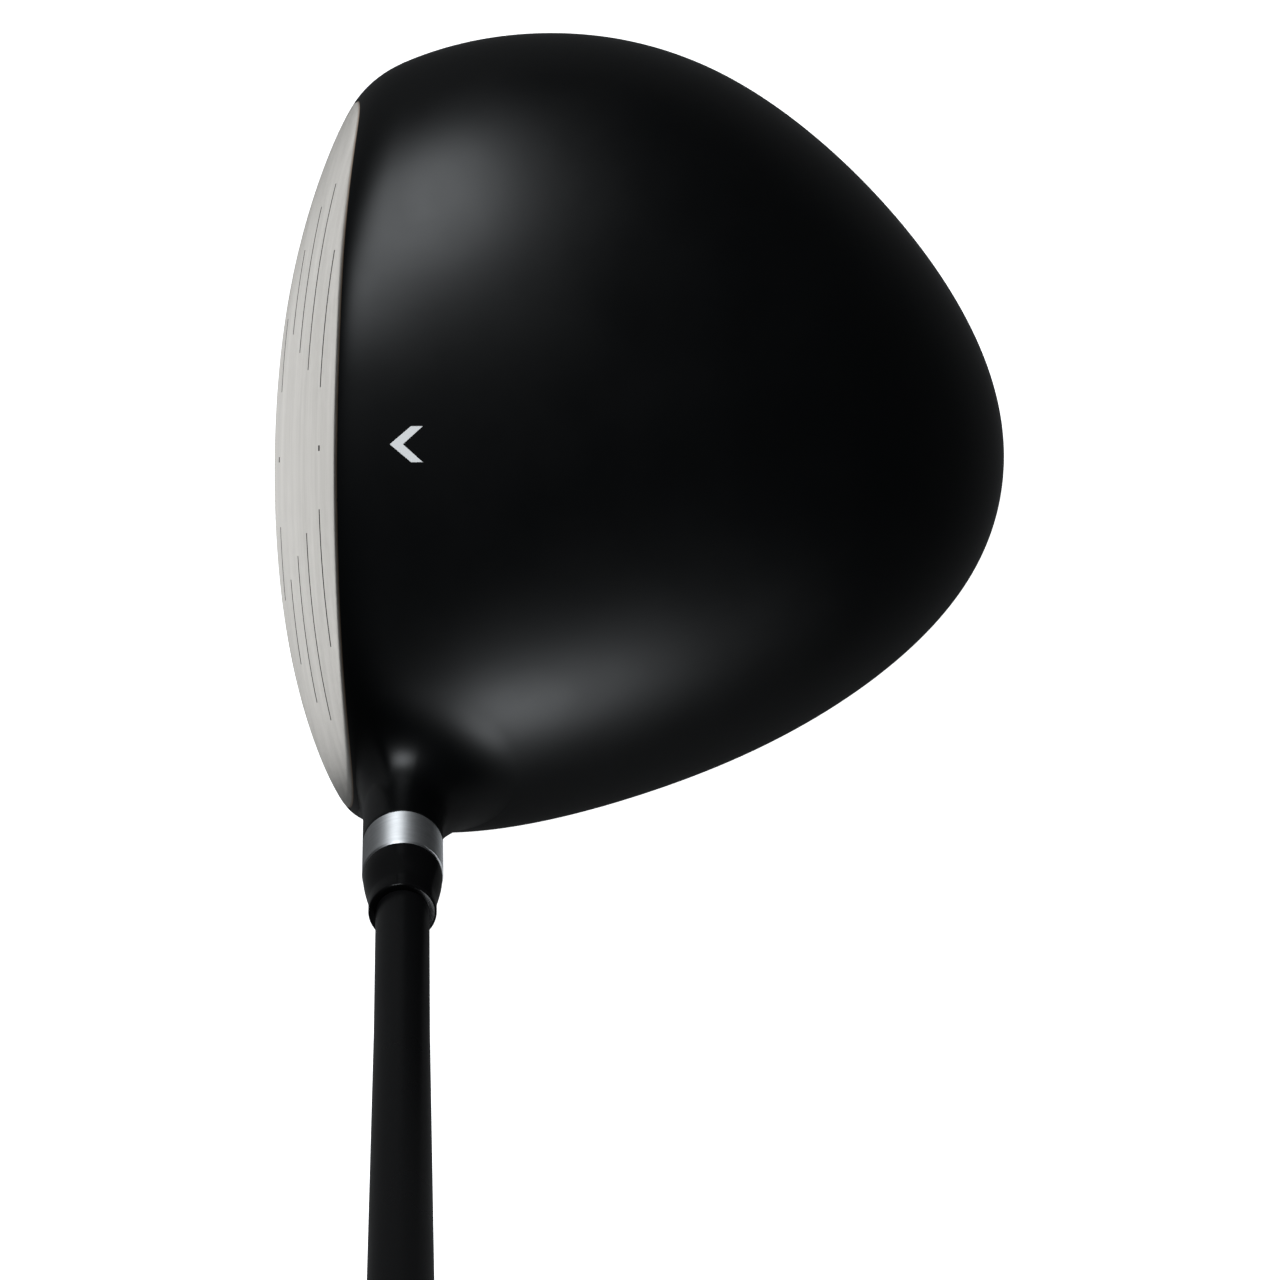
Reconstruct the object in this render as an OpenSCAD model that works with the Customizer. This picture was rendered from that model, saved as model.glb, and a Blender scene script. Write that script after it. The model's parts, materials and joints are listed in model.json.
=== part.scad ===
// Golf driver, right-handed, standing at its address position.
// Origin: centre of the flat pad that the sole rests on. +Z is up, the face looks
// along -Y, the toe is at -X and the heel, hosel, shaft and grip are at +X.
// Lengths are in millimetres.

/* [Head] */
// Height of the crown's highest point
head_h = 60; // [58:0.5:64]
// Height of the widest outline at the middle of the head
waist_h = 28; // [26:0.5:30]
// Fall of that outline for each millimetre towards the back
waist_slope = 0.05; // [0:0.01:0.08]
// Distance of the crown's highest point in front of the rest point
crown_fwd = 6; // [2:1:10]
// Wall of the crown and the skirt
wall = 1.0; // [0.8:0.1:1.4]
// Wall of the sole
sole_wall = 1.6; // [1.4:0.1:2]
// How far the skirt reaches down the sole, as a share of the way to the rest point
skirt_share = 0.17; // [0.14:0.01:0.22]

/* [Face] */
// Loft of the face at its centre, in degrees
loft = 12.5; // [11:0.5:14]
// Angle by which the face looks towards the toe, in degrees
face_open = 0.5; // [0:0.1:1.5]
// Radius of the face from heel to toe
bulge_r = 250; // [220:5:280]
// How much further the face falls back 50 mm from its centre
end_fall = 1.2; // [0.8:0.1:1.6]
// Radius of the face from top to bottom
roll_r = 300; // [250:10:400]
// Distance of the face's centre in front of the rest point
face_fwd = 44.2; // [43:0.1:46]
// Height of the face's centre
face_mid_h = 30; // [28:1:32]
// Size of the rounding between the face and the body
face_round = 6; // [5:0.5:7]
// How far the face plate's edge stays short of the corner
face_edge = 3; // [2.5:0.1:3.5]
// Thickness of the face plate at its centre
face_wall = 3.2; // [2.4:0.1:4]

/* [Hosel] */
// Lie angle, in degrees
lie = 60; // [58:0.5:62]
// Where the shaft's axis meets the ground, towards the heel
axis_x = 30.7; // [29:0.1:32]
// Distance of the shaft's axis in front of the rest point
axis_fwd = 25.7; // [24:0.1:27]
// Outer diameter of the neck and of the trim ring
neck_d = 13; // [12.4:0.1:13.6]
// Outer diameter of the tube that holds the shaft
tube_d = 10.8; // [10.4:0.1:11.2]
// Distance along the axis from the ground to the top of the neck
neck_s = 68; // [66:0.5:70]
// Depth of the shaft's tip below the top of the neck
tip_depth = 38; // [34:1:40]
// Length of the trim ring
ring_l = 9.5; // [8:0.5:11]
// Length of the ferrule
ferrule_l = 11; // [9:0.5:14]
// Diameter of the ferrule's upper end
ferrule_d = 10.8; // [10.4:0.1:11.4]

/* [Shaft and grip] */
// Length of the club along the axis from the ground to the end of the cap
club_l = 1143; // [1118:1:1168]
// Diameter of the shaft's tip
tip_d = 8.5; // [8.5:0.1:8.9]
// Diameter of the shaft's butt
butt_d = 15.2; // [14.7:0.1:15.5]
// Wall of the shaft at the tip
tip_wall = 1.9; // [1.5:0.1:2.1]
// Wall of the shaft at the butt
butt_wall = 1.1; // [0.9:0.1:1.4]
// Length of the grip with its cap
grip_l = 267; // [255:1:275]
// Diameter of the grip below its cap
grip_top_d = 26; // [25:0.5:27]
// Diameter of the grip's lower end
grip_low_d = 17.6; // [17:0.2:18.4]
// Diameter of the vent hole in the cap
vent_d = 3; // [2.6:0.1:3.4]

/* [Sole] */
// Diameter of the flat pad that the club rests on
pad_d = 26; // [22:1:28]
// Diameter of the weight's boss
boss_d = 20; // [18:0.5:21]
// Diameter of the weight
weight_d = 14; // [13:0.5:14.5]

/* [Hidden] */

// Control points of the head's widest outline, a closed smooth curve, from the toe
// end of the face round the back to the heel and across in front of the face.
OUTLINE = [[-48.5, -50], [-65.7, -31], [-73.5, -4], [-68.5, 29], [-39.5, 62], [-8, 79.3],
           [21.7, 73.8], [44.4, 46.7], [57.7, 15.5], [66, -20], [58.3, -44.5],
           [34.7, -72], [-1, -80], [-31.5, -72]];
CROWN_PLAN = 2.2;        // superellipse powers of the crown and the sole
CROWN_RISE = 1.8;
SOLE_PLAN = 1.9;
SOLE_RISE = 1.6;
CROWN_FRONT = 0.005;     // how much fuller the plan powers get for each mm forward
SOLE_FRONT = 0.002;
PAD_DROP = 0.4;          // the pad stands this far below the sole
PAD_T = 1.2;
BACK_COLS = 44;          // mesh columns round the back of the head
CORNER_COLS = 4;         // at each lower corner of the face
FRONT_COLS = 16;         // between them
ROWS = 10;
STEP = 0.004;            // step of the finite differences
HAIR = 0.0005;           // columns closer than this to the face's end belong to the end
GAP = 0.05;              // clearance of bonded pieces
FN = 48;

// ---- The head's surface: u runs round the outline, t from -1 (rest point) to 1 (top)

function lerp(a, b, f) = a + (b - a) * f;

function outline(u) =
    let (n = len(OUTLINE), w = ((u % n) + n) % n, i = floor(w), f = w - i, g = 1 - f)
    (g * g * g * OUTLINE[(i + n - 1) % n]
     + (3 * f * f * f - 6 * f * f + 4) * OUTLINE[i]
     + (3 * g * g * g - 6 * g * g + 4) * OUTLINE[(i + 1) % n]
     + f * f * f * OUTLINE[(i + 2) % n]) / 6;

// The body before the face is cut: superellipse arcs from the outline to both poles
function body_point(u, t) =
    let (o = outline(u), a = min(abs(t), 1) * 90, top = t >= 0,
         plan = top ? CROWN_PLAN - CROWN_FRONT * o[1] : SOLE_PLAN - SOLE_FRONT * o[1],
         rho = pow(max(cos(a), 0), 2 / plan),
         rise = pow(max(sin(a), 0), 2 / (top ? CROWN_RISE : SOLE_RISE)),
         pole_y = top ? -crown_fwd : 0,
         waist = waist_h - waist_slope * o[1])
    [o[0] * rho, pole_y + (o[1] - pole_y) * rho,
     top ? lerp(waist, head_h, rise) : lerp(waist, PAD_DROP, rise)];

// The face: bulge, fall at its ends, roll and loft
function face_y(x, z) =
    -face_fwd - x * tan(face_open) + x * x / (2 * bulge_r) + end_fall * pow(x / 50, 4)
    + pow(z - face_mid_h, 2) / (2 * roll_r) + (z - face_mid_h) * tan(loft);

// How far a body point lies behind the face; negative in front of it
function behind_face(u, t) = let (p = body_point(u, t)) p[1] - face_y(p[0], p[2]);

// The finished surface: the body cut by the face, with a rounded corner between them
function head_point(u, t) =
    let (p = body_point(u, t), f = face_y(p[0], p[2]),
         h = max(face_round - abs(p[1] - f), 0) / face_round)
    [p[0], max(p[1], f) + h * h * face_round / 4, p[2]];

function head_normal(u, t) =
    let (a = max(min(t, 1 - 2 * STEP), -1 + 2 * STEP),
         du = head_point(u + STEP, a) - head_point(u - STEP, a),
         dt = head_point(u, a + STEP) - head_point(u, a - STEP),
         n = cross(dt, du))
    n / norm(n);

// ---- Where the pieces meet, found by halving

// Height t at which the face's edge crosses column u, above (1) or below (-1) the waist
function edge_t(u, side, lo = 0, hi = 1, n = 24) =
    n == 0 ? side * (lo + hi) / 2
    : let (mid = (lo + hi) / 2)
      behind_face(u, side * mid) < -face_edge
      ? edge_t(u, side, mid, hi, n - 1) : edge_t(u, side, lo, mid, n - 1);

// Column at which the waist meets the face's edge, between a front and a rear column
function end_u(front, rear, n = 24) =
    n == 0 ? (front + rear) / 2
    : let (mid = (front + rear) / 2)
      behind_face(mid, 0) < -face_edge ? end_u(mid, rear, n - 1) : end_u(front, mid, n - 1);

// Column at which the skirt's lower edge meets the face's edge
function corner_u(front, rear, n = 24) =
    n == 0 ? (front + rear) / 2
    : let (mid = (front + rear) / 2)
      edge_t(mid, -1) < -skirt_share
      ? corner_u(mid, rear, n - 1) : corner_u(front, mid, n - 1);

HEEL_U = end_u(12, 8);
TOE_U = end_u(12, 16);
HEEL_CORNER_U = corner_u(12, HEEL_U);
TOE_CORNER_U = corner_u(12, TOE_U);

// Columns: heel end, heel corner, face, toe corner, toe end, then round the back
function ease(f) = (1 - cos(180 * f)) / 2;
CORNER_H = [for (i = [0:CORNER_COLS - 1])
            lerp(HEEL_U, HEEL_CORNER_U, pow(i / CORNER_COLS, 2))];
FRONT = [for (i = [0:FRONT_COLS]) lerp(HEEL_CORNER_U, TOE_CORNER_U, ease(i / FRONT_COLS))];
CORNER_T = [for (i = [1:CORNER_COLS])
            lerp(TOE_CORNER_U, TOE_U, 1 - pow(1 - i / CORNER_COLS, 2))];
BACK = [for (i = [1:BACK_COLS - 1])
        lerp(TOE_U, HEEL_U + len(OUTLINE), i / BACK_COLS)];
FACE_COLS = concat(CORNER_H, FRONT, CORNER_T);
ALL_COLS = concat(FACE_COLS, BACK);
SKIRT_COLS = concat([TOE_CORNER_U], CORNER_T, BACK,
                    [for (u = CORNER_H) u + len(OUTLINE)],
                    [HEEL_CORNER_U + len(OUTLINE)]);

function in_face(u) = let (n = len(OUTLINE), w = u > n + 2 ? u - n : u)
    w > HEEL_U + HAIR && w < TOE_U - HAIR;
function face_top(u) = in_face(u) ? edge_t(u, 1) : 0;
function face_low(u) = in_face(u) ? edge_t(u, -1) : 0;

// ---- Closed shells from a grid of surface points

// grid[i] is column i, a list of [u, t, thickness]. The outer points come first.
function flat(list) = [for (a = list) each a];
function outer_point(g) = head_point(g[0], g[1]);
function inner_point(g) = head_point(g[0], g[1]) - g[2] * head_normal(g[0], g[1]);
function triangle(a, b, c) = a == b || b == c || a == c ? [] : [[a, b, c]];
function quad(a, b, c, d) = concat(triangle(a, b, c), triangle(a, c, d));

// ring: the columns close on themselves and the last row is one pole point.
// Otherwise the first and the last column are one point each.
module shell(grid, ring) {
    cols = len(grid);
    rows = len(grid[0]);
    side = cols * rows;
    function at(s, i, j) =
        let (c = ring ? i % cols : i)
        s * side + (ring ? (j == rows - 1 ? rows - 1 : c * rows + j)
                    : (c == 0 || c == cols - 1 ? c * rows : c * rows + j));
    last = ring ? cols - 1 : cols - 2;
    faces = [for (i = [0:last]) each concat(
        [for (j = [0:rows - 2]) each concat(
            quad(at(0, i, j), at(0, i + 1, j), at(0, i + 1, j + 1), at(0, i, j + 1)),
            quad(at(1, i, j + 1), at(1, i + 1, j + 1), at(1, i + 1, j), at(1, i, j)))],
        quad(at(1, i, 0), at(1, i + 1, 0), at(0, i + 1, 0), at(0, i, 0)),
        ring ? [] : quad(at(0, i, rows - 1), at(0, i + 1, rows - 1),
                         at(1, i + 1, rows - 1), at(1, i, rows - 1)))];
    points = concat(flat([for (c = grid) [for (g = c) outer_point(g)]]),
                    flat([for (c = grid) [for (g = c) inner_point(g)]]));
    polyhedron(points, faces);
}

// ---- Places used by several pieces

AXIS_Y = -axis_fwd;
RING_S = neck_s + ring_l;
TIP_S = neck_s - tip_depth;
CAP_T = 5;
CAP_S = club_l - CAP_T;
GRIP_LOW_S = club_l - grip_l;
TUBE_S = TIP_S - 6;
BUTT_S = CAP_S - 2;
STRAIGHT_S = BUTT_S - 150;
TAPE_T = 0.3;

// Draws its children with +Z along the shaft's axis, s millimetres above the ground
module on_axis(s) {
    translate([axis_x, AXIS_Y, 0]) rotate([0, 90 - lie, 0]) translate([0, 0, s]) children();
}

// Outer radius of the shaft: parallel tip, then two tapers and a parallel butt
SHAFT_KNEES = [[TIP_S, tip_d / 2], [TIP_S + 92, tip_d / 2], [TIP_S + 160, tip_d / 2 + 0.5],
               [STRAIGHT_S, butt_d / 2], [BUTT_S, butt_d / 2]];
function shaft_r(s) = lookup(s, SHAFT_KNEES);

// The weight sits at the back of the sole, square to the surface there
WEIGHT_U = 5.2;
WEIGHT_T = -0.52;
WEIGHT_P = head_point(WEIGHT_U, WEIGHT_T);
WEIGHT_N = head_normal(WEIGHT_U, WEIGHT_T);
BOSS_L = 10;
BOSS_SINK = 0.8;

// Draws its children with +Z pointing out of the sole at the weight
module at_weight() {
    tilt = acos(WEIGHT_N[2]);
    turn = atan2(WEIGHT_N[1], WEIGHT_N[0]);
    translate(WEIGHT_P) rotate([0, tilt, turn]) children();
}

// ---- Head

module crown_shell() {
    color([0.05, 0.05, 0.055]) difference() {
        shell([for (u = ALL_COLS) let (t0 = face_top(u))
               [for (j = [0:ROWS]) [u, lerp(t0, 1, j / ROWS), wall]]], true);
        on_axis(BORE_FROM_S) cylinder(d = tube_d, h = neck_s, $fn = FN);
    }
}

module skirt_shell() {
    rows = 3;
    color([0.05, 0.05, 0.055])
        shell([for (u = SKIRT_COLS) let (t0 = face_low(u), t1 = -skirt_share)
               [for (j = [rows:-1:0]) [u, lerp(t0, t1, j / rows), wall]]], false);
}

module sole_shell() {
    color([0.12, 0.12, 0.13]) difference() {
        shell([for (u = ALL_COLS) let (t0 = min(face_low(u), -skirt_share))
               [for (j = [0:ROWS]) [u, lerp(t0, -1, j / ROWS),
                                    lerp(wall, sole_wall, min(1, 3 * j / ROWS))]]], true);
        translate([0, 0, -1]) cylinder(d = pad_d + 2 * GAP, h = 1 + PAD_T, $fn = FN);
        at_weight() translate([0, 0, -BOSS_L / 2]) cylinder(d = boss_d, h = BOSS_L, $fn = FN);
    }
}

module face_plate() {
    rows = 8;
    n = len(FACE_COLS) - 1;
    color([0.78, 0.77, 0.75])
        shell([for (i = [0:n]) let (u = FACE_COLS[i], a = face_low(u), b = face_top(u))
               [for (j = [0:rows])
                let (across = 4 * (j / rows) * (1 - j / rows), along = 5 * (i / n) * (1 - i / n))
                [u, lerp(a, b, j / rows), lerp(wall, face_wall, across * ease(min(1, along)))]]],
              false);
}

// Solid bounded by the head's outer surface, which trims the neck's foot
module head_block() {
    low_rows = 12;
    cols = len(ALL_COLS);
    rows = ROWS + low_rows;
    heights = [for (u = ALL_COLS) let (t0 = face_top(u))
               concat([for (j = [1:ROWS]) lerp(1, t0, j / ROWS)],
                      [for (j = [1:low_rows - 1]) lerp(t0, -1, j / low_rows)])];
    last = rows - 2;
    function at(i, j) = (i % cols) * (last + 1) + j;
    top = cols * (last + 1);
    points = concat([for (i = [0:cols - 1]) for (t = heights[i]) head_point(ALL_COLS[i], t)],
                    [head_point(0, 1), head_point(0, -1)]);
    faces = [for (i = [0:cols - 1]) each concat(
        [[top, at(i, 0), at(i + 1, 0)], [at(i, last), top + 1, at(i + 1, last)]],
        [for (j = [0:last - 1]) each quad(at(i + 1, j), at(i, j), at(i, j + 1), at(i + 1, j + 1))])];
    polyhedron(points, faces);
}

// The neck's flare: discs [distance along the axis, radius], each kept NECK_FRONT from
// the axis on the face's side, so that the flare opens towards the toe and the back
NECK_FRONT = 8;
FLARE_S = 65;
FLARE = [[40, 7], [46, 12], [49, 10], [53, 8.4], [58, 7.2], [FLARE_S, neck_d / 2]];
SLICE = 0.01;
BORE_FROM_S = 20;

module flare_disc(d) {
    shift = max(d[1] - NECK_FRONT, 0);
    translate([-shift / 3, shift, d[0]]) cylinder(r = d[1], h = SLICE, $fn = 32);
}

module hosel_neck() {
    color([0.05, 0.05, 0.055]) difference() {
        on_axis(0) union() {
            for (i = [0:len(FLARE) - 2]) hull() {
                flare_disc(FLARE[i]);
                flare_disc(FLARE[i + 1]);
            }
            translate([0, 0, FLARE_S]) cylinder(d = neck_d, h = neck_s - FLARE_S, $fn = 32);
        }
        head_block();
        on_axis(BORE_FROM_S) cylinder(d = tube_d, h = neck_s, $fn = FN);
    }
}

module hosel_tube() {
    color("silver") on_axis(TUBE_S) difference() {
        cylinder(d = tube_d, h = neck_s - TUBE_S, $fn = FN);
        translate([0, 0, -1]) cylinder(d = tip_d, h = neck_s, $fn = FN);
    }
}

module tube_plug() {
    color("ivory") on_axis(TUBE_S) cylinder(d = tip_d, h = TIP_S - TUBE_S, $fn = FN);
}

// ---- Weight at the back of the sole, from the inside of the head outwards

BASE_T = 3;
WASHER_T = 0.6;
SLUG_T = 4.2;
BOLT_R = 2;
BOLT_HEAD_R = 4;
BOLT_HEAD_T = 2.2;
HEX_R = 1.7;
BASE_Z = -BOSS_L + BASE_T;
SLUG_Z = BASE_Z + WASHER_T;
BOLT_SEAT_Z = SLUG_Z + SLUG_T - BOLT_HEAD_T;

module weight_boss() {
    color([0.55, 0.55, 0.56]) at_weight() difference() {
        translate([0, 0, -BOSS_L]) cylinder(d = boss_d, h = BOSS_L - BOSS_SINK, $fn = FN);
        translate([0, 0, BASE_Z]) cylinder(d = weight_d, h = BOSS_L, $fn = FN);
        translate([0, 0, -BOSS_L - 1]) cylinder(r = BOLT_R, h = BASE_T + 2, $fn = FN);
    }
}

module weight_washer() {
    color([0.1, 0.1, 0.1]) at_weight() translate([0, 0, BASE_Z]) difference() {
        cylinder(d = weight_d - 4 * GAP, h = WASHER_T, $fn = FN);
        translate([0, 0, -1]) cylinder(r = BOLT_R + 4 * GAP, h = WASHER_T + 2, $fn = FN);
    }
}

module weight_slug() {
    color([0.45, 0.45, 0.47]) at_weight() difference() {
        translate([0, 0, SLUG_Z]) cylinder(d = weight_d - 2 * GAP, h = SLUG_T, $fn = FN);
        translate([0, 0, SLUG_Z - 1]) cylinder(r = BOLT_R + GAP, h = SLUG_T + 2, $fn = FN);
        translate([0, 0, BOLT_SEAT_Z]) cylinder(r = BOLT_HEAD_R + GAP, h = SLUG_T, $fn = FN);
    }
}

module weight_screw() {
    color([0.75, 0.75, 0.77]) at_weight() difference() {
        union() {
            translate([0, 0, -BOSS_L]) cylinder(r = BOLT_R, h = BOLT_SEAT_Z + BOSS_L, $fn = FN);
            translate([0, 0, BOLT_SEAT_Z])
                cylinder(r = BOLT_HEAD_R, h = BOLT_HEAD_T - 2 * GAP, $fn = FN);
        }
        translate([0, 0, BOLT_SEAT_Z + 0.6]) cylinder(r = HEX_R, h = 5, $fn = 6);
    }
}

// ---- Sole pad and the glue inside the head

module sole_pad() {
    chamfer = 0.8;
    color([0.7, 0.7, 0.72]) {
        rotate_extrude($fn = 96) polygon([[0, 0], [pad_d / 2 - chamfer, 0],
                                          [pad_d / 2, chamfer], [pad_d / 2, PAD_T], [0, PAD_T]]);
    }
}

module hot_melt() {
    rows = 4;
    start = -0.72;
    clear = 0.3;
    edge = 0.3;
    depth = 2.4;
    cols = 24;
    n = len(OUTLINE);
    function point(i, j, k) =
        let (u = i * n / cols, t = lerp(start, -1, j / rows),
             off = sole_wall + clear + (k == 0 ? 0 : edge + depth * sin(90 * j / rows)))
        head_point(u, t) - off * head_normal(u, t);
    grid = [for (k = [0, 1]) [for (i = [0:cols - 1]) for (j = [0:rows - 1]) point(i, j, k)]];
    side = cols * rows;
    poles = [point(0, rows, 0), point(0, rows, 1)];
    function at(k, i, j) = k * side + (i % cols) * rows + j;
    faces = [for (i = [0:cols - 1]) each concat(
        [for (j = [0:rows - 2]) each concat(
            quad(at(0, i, j), at(0, i + 1, j), at(0, i + 1, j + 1), at(0, i, j + 1)),
            quad(at(1, i, j + 1), at(1, i + 1, j + 1), at(1, i + 1, j), at(1, i, j)))],
        quad(at(1, i, 0), at(1, i + 1, 0), at(0, i + 1, 0), at(0, i, 0)),
        [[at(0, i, rows - 1), at(0, i + 1, rows - 1), 2 * side],
         [at(1, i + 1, rows - 1), at(1, i, rows - 1), 2 * side + 1]])];
    color([0.9, 0.82, 0.6]) polyhedron(concat(grid[0], grid[1], poles), faces);
}

// ---- Trim ring, ferrule and shaft

module trim_ring() {
    chamfer = 0.35;
    bore = tip_d / 2 + GAP;
    color([0.75, 0.76, 0.78]) on_axis(neck_s) rotate_extrude($fn = 96)
        polygon([[bore, 0], [neck_d / 2, 0], [neck_d / 2, ring_l - chamfer],
                 [neck_d / 2 - chamfer, ring_l], [bore, ring_l]]);
}

// Barrel that narrows in one curve to a straight collar
module ferrule() {
    bore = tip_d / 2 + GAP;
    step_in = 0.15;
    low = neck_d / 2 - step_in;
    high = ferrule_d / 2;
    collar = 3;
    curve = ferrule_l - collar;
    lip = 0.35;
    parts = 10;
    fullness = 1.3;
    function r_at(f) = lerp(high, low, pow(cos(90 * f), fullness));
    color([0.03, 0.03, 0.03]) on_axis(RING_S) rotate_extrude($fn = 96)
        polygon(concat([[bore, 0]],
                       [for (i = [0:parts]) [r_at(i / parts), curve * i / parts]],
                       [[high, ferrule_l - lip], [high - lip, ferrule_l], [bore, ferrule_l]]));
}

function shaft_wall(s) = lerp(tip_wall, butt_wall, (s - TIP_S) / (BUTT_S - TIP_S));

module shaft() {
    stations = [for (k = SHAFT_KNEES) k[0]];
    n = len(stations) - 1;
    color([0.04, 0.04, 0.045]) on_axis(0) rotate_extrude($fn = FN)
        polygon(concat([for (i = [0:n]) [shaft_r(stations[i]), stations[i]]],
                       [for (i = [n:-1:0])
                        [shaft_r(stations[i]) - shaft_wall(stations[i]), stations[i]]]));
}

TIP_WEIGHT_L = 24;

module tip_weight() {
    color([0.8, 0.65, 0.3]) on_axis(TIP_S + 2)
        cylinder(r = tip_d / 2 - tip_wall - GAP, h = TIP_WEIGHT_L, $fn = FN);
}

// ---- Grip

TAPE_LOW_S = GRIP_LOW_S + 6;

module grip_tape() {
    color([0.85, 0.83, 0.75]) on_axis(0) {
        low = shaft_r(TAPE_LOW_S);
        high = butt_d / 2;
        rotate_extrude($fn = 64)
            polygon([[low, TAPE_LOW_S], [low + TAPE_T, TAPE_LOW_S],
                     [high + TAPE_T, STRAIGHT_S], [high + TAPE_T, BUTT_S],
                     [high, BUTT_S], [high, STRAIGHT_S]]);
    }
}

module grip_sleeve() {
    bead = 0.8;
    low = shaft_r(TAPE_LOW_S) + TAPE_T;
    high = butt_d / 2 + TAPE_T;
    out_low = grip_low_d / 2;
    out_high = grip_top_d / 2;
    color([0.07, 0.07, 0.07]) on_axis(0) rotate_extrude($fn = 64)
        polygon([[shaft_r(GRIP_LOW_S) + GAP, GRIP_LOW_S], [out_low, GRIP_LOW_S],
                 [out_low + bead / 2, GRIP_LOW_S + bead],
                 [out_low + bead / 2, GRIP_LOW_S + 3 * bead],
                 [out_low, GRIP_LOW_S + 4 * bead], [out_high, CAP_S], [high, CAP_S],
                 [high, STRAIGHT_S], [low, TAPE_LOW_S], [shaft_r(TAPE_LOW_S) + GAP, TAPE_LOW_S]]);
}

module grip_cap() {
    edge = 1.6;
    overhang = 0.5;
    parts = 6;
    r = grip_top_d / 2 + overhang;
    function rounded(a) = [r - edge + edge * cos(a), CAP_T - edge + edge * sin(a)];
    color([0.07, 0.07, 0.07]) on_axis(CAP_S) rotate_extrude($fn = 64)
        polygon(concat([[vent_d / 2, 0], [r, 0]],
                       [for (i = [0:parts]) rounded(90 * i / parts)],
                       [[vent_d / 2, CAP_T]]));
}

crown_shell();
skirt_shell();
sole_shell();
face_plate();
hosel_neck();
hosel_tube();
tube_plug();
weight_boss();
weight_washer();
weight_slug();
weight_screw();
sole_pad();
hot_melt();
trim_ring();
ferrule();
shaft();
tip_weight();
grip_tape();
grip_sleeve();
grip_cap();
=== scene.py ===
import json
import math

import bmesh
import bpy
import numpy as np
from mathutils import Matrix, Vector
from mathutils.geometry import delaunay_2d_cdt


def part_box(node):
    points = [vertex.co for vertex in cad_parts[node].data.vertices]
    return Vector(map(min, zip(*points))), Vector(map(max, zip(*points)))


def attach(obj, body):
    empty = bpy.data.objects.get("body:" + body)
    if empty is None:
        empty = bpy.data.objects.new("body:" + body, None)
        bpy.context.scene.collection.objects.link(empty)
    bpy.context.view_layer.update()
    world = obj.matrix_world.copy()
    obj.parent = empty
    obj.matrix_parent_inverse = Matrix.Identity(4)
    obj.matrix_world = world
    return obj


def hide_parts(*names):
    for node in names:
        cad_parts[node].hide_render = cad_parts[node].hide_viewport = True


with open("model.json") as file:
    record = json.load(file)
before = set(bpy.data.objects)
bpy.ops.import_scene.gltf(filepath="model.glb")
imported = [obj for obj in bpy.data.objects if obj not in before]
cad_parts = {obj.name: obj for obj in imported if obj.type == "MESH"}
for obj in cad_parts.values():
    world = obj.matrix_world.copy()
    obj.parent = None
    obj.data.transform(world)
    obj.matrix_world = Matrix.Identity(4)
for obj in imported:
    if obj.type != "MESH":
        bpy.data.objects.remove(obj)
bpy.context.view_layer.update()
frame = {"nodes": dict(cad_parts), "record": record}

# A golf driver at its address position. The head is rebuilt here as fine shells over the
# same surface that the CAD model has; the shaft, its fittings and the grip are turned
# about the shaft's axis. Blender objects are in metres; the formulas are in millimetres.

MM = 0.001
BODY = "root"

# ---- Driving dimensions, in millimetres, as in the CAD model

OUTLINE = np.array([(-48.5, -50), (-65.7, -31), (-73.5, -4), (-68.5, 29), (-39.5, 62), (-8, 79.3),
                    (21.7, 73.8), (44.4, 46.7), (57.7, 15.5), (66, -20), (58.3, -44.5),
                    (34.7, -72), (-1, -80), (-31.5, -72)])
HEAD_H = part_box("crown_shell")[1].z / MM
WAIST_H, WAIST_SLOPE, CROWN_FWD = 28, 0.05, 6
CROWN_PLAN, CROWN_RISE, CROWN_FRONT = 2.2, 1.8, 0.005
SOLE_PLAN, SOLE_RISE, SOLE_FRONT = 1.9, 1.6, 0.002
PAD_DROP = 0.4
SKIRT_SHARE = 0.17
LOFT, FACE_OPEN = math.radians(12.5), math.radians(0.5)
BULGE_R, END_X, END_FALL, ROLL_R, FACE_FWD, FACE_MID_H = 250, 50, 1.2, 300, 44.2, 30
FACE_ROUND, FACE_EDGE = 6, 3
WALL, SOLE_WALL, FACE_WALL = 1.0, 1.6, 3.0

NECK_R, NECK_S = 6.5, 68
RING_L, FERRULE_L, FERRULE_R = 9.5, 11, 5.4
TIP_R, BUTT_R, TIP_S, TIP_WALL, BUTT_WALL = 4.25, 7.6, 30, 1.9, 1.1
GRIP_LOW_S, CAP_S, CAP_T = 876, 1138, 5
GRIP_LOW_R, GRIP_TOP_R = 8.8, 13
VENT_R = 1.5
PAD_R, PAD_T = 13, 1.2
BOSS_R, WEIGHT_U, WEIGHT_T = 10, 5.2, -0.52
FIT = 0.05                       # gap left round a part that sits in a hole
STEP = 0.004                     # step of the finite differences
SEAM = 0.16                      # depth of the fine seam round the face plate
SEAM_W = 0.35                    # and half its width

# The shaft's axis, from the vent in its cap: a point on the ground and a direction
VENT = next(m for m in frame["record"]["mounts"] if m["name"] == "cap_vent")
AXIS = np.array(VENT["axis"], float)
AXIS_FOOT = np.array(VENT["pos_m"], float) / MM
AXIS_FOOT = AXIS_FOOT - AXIS * AXIS_FOOT[2] / AXIS[2]


# ---- The head's surface: u runs round the outline, t from -1 (rest point) to 1 (top)

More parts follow.
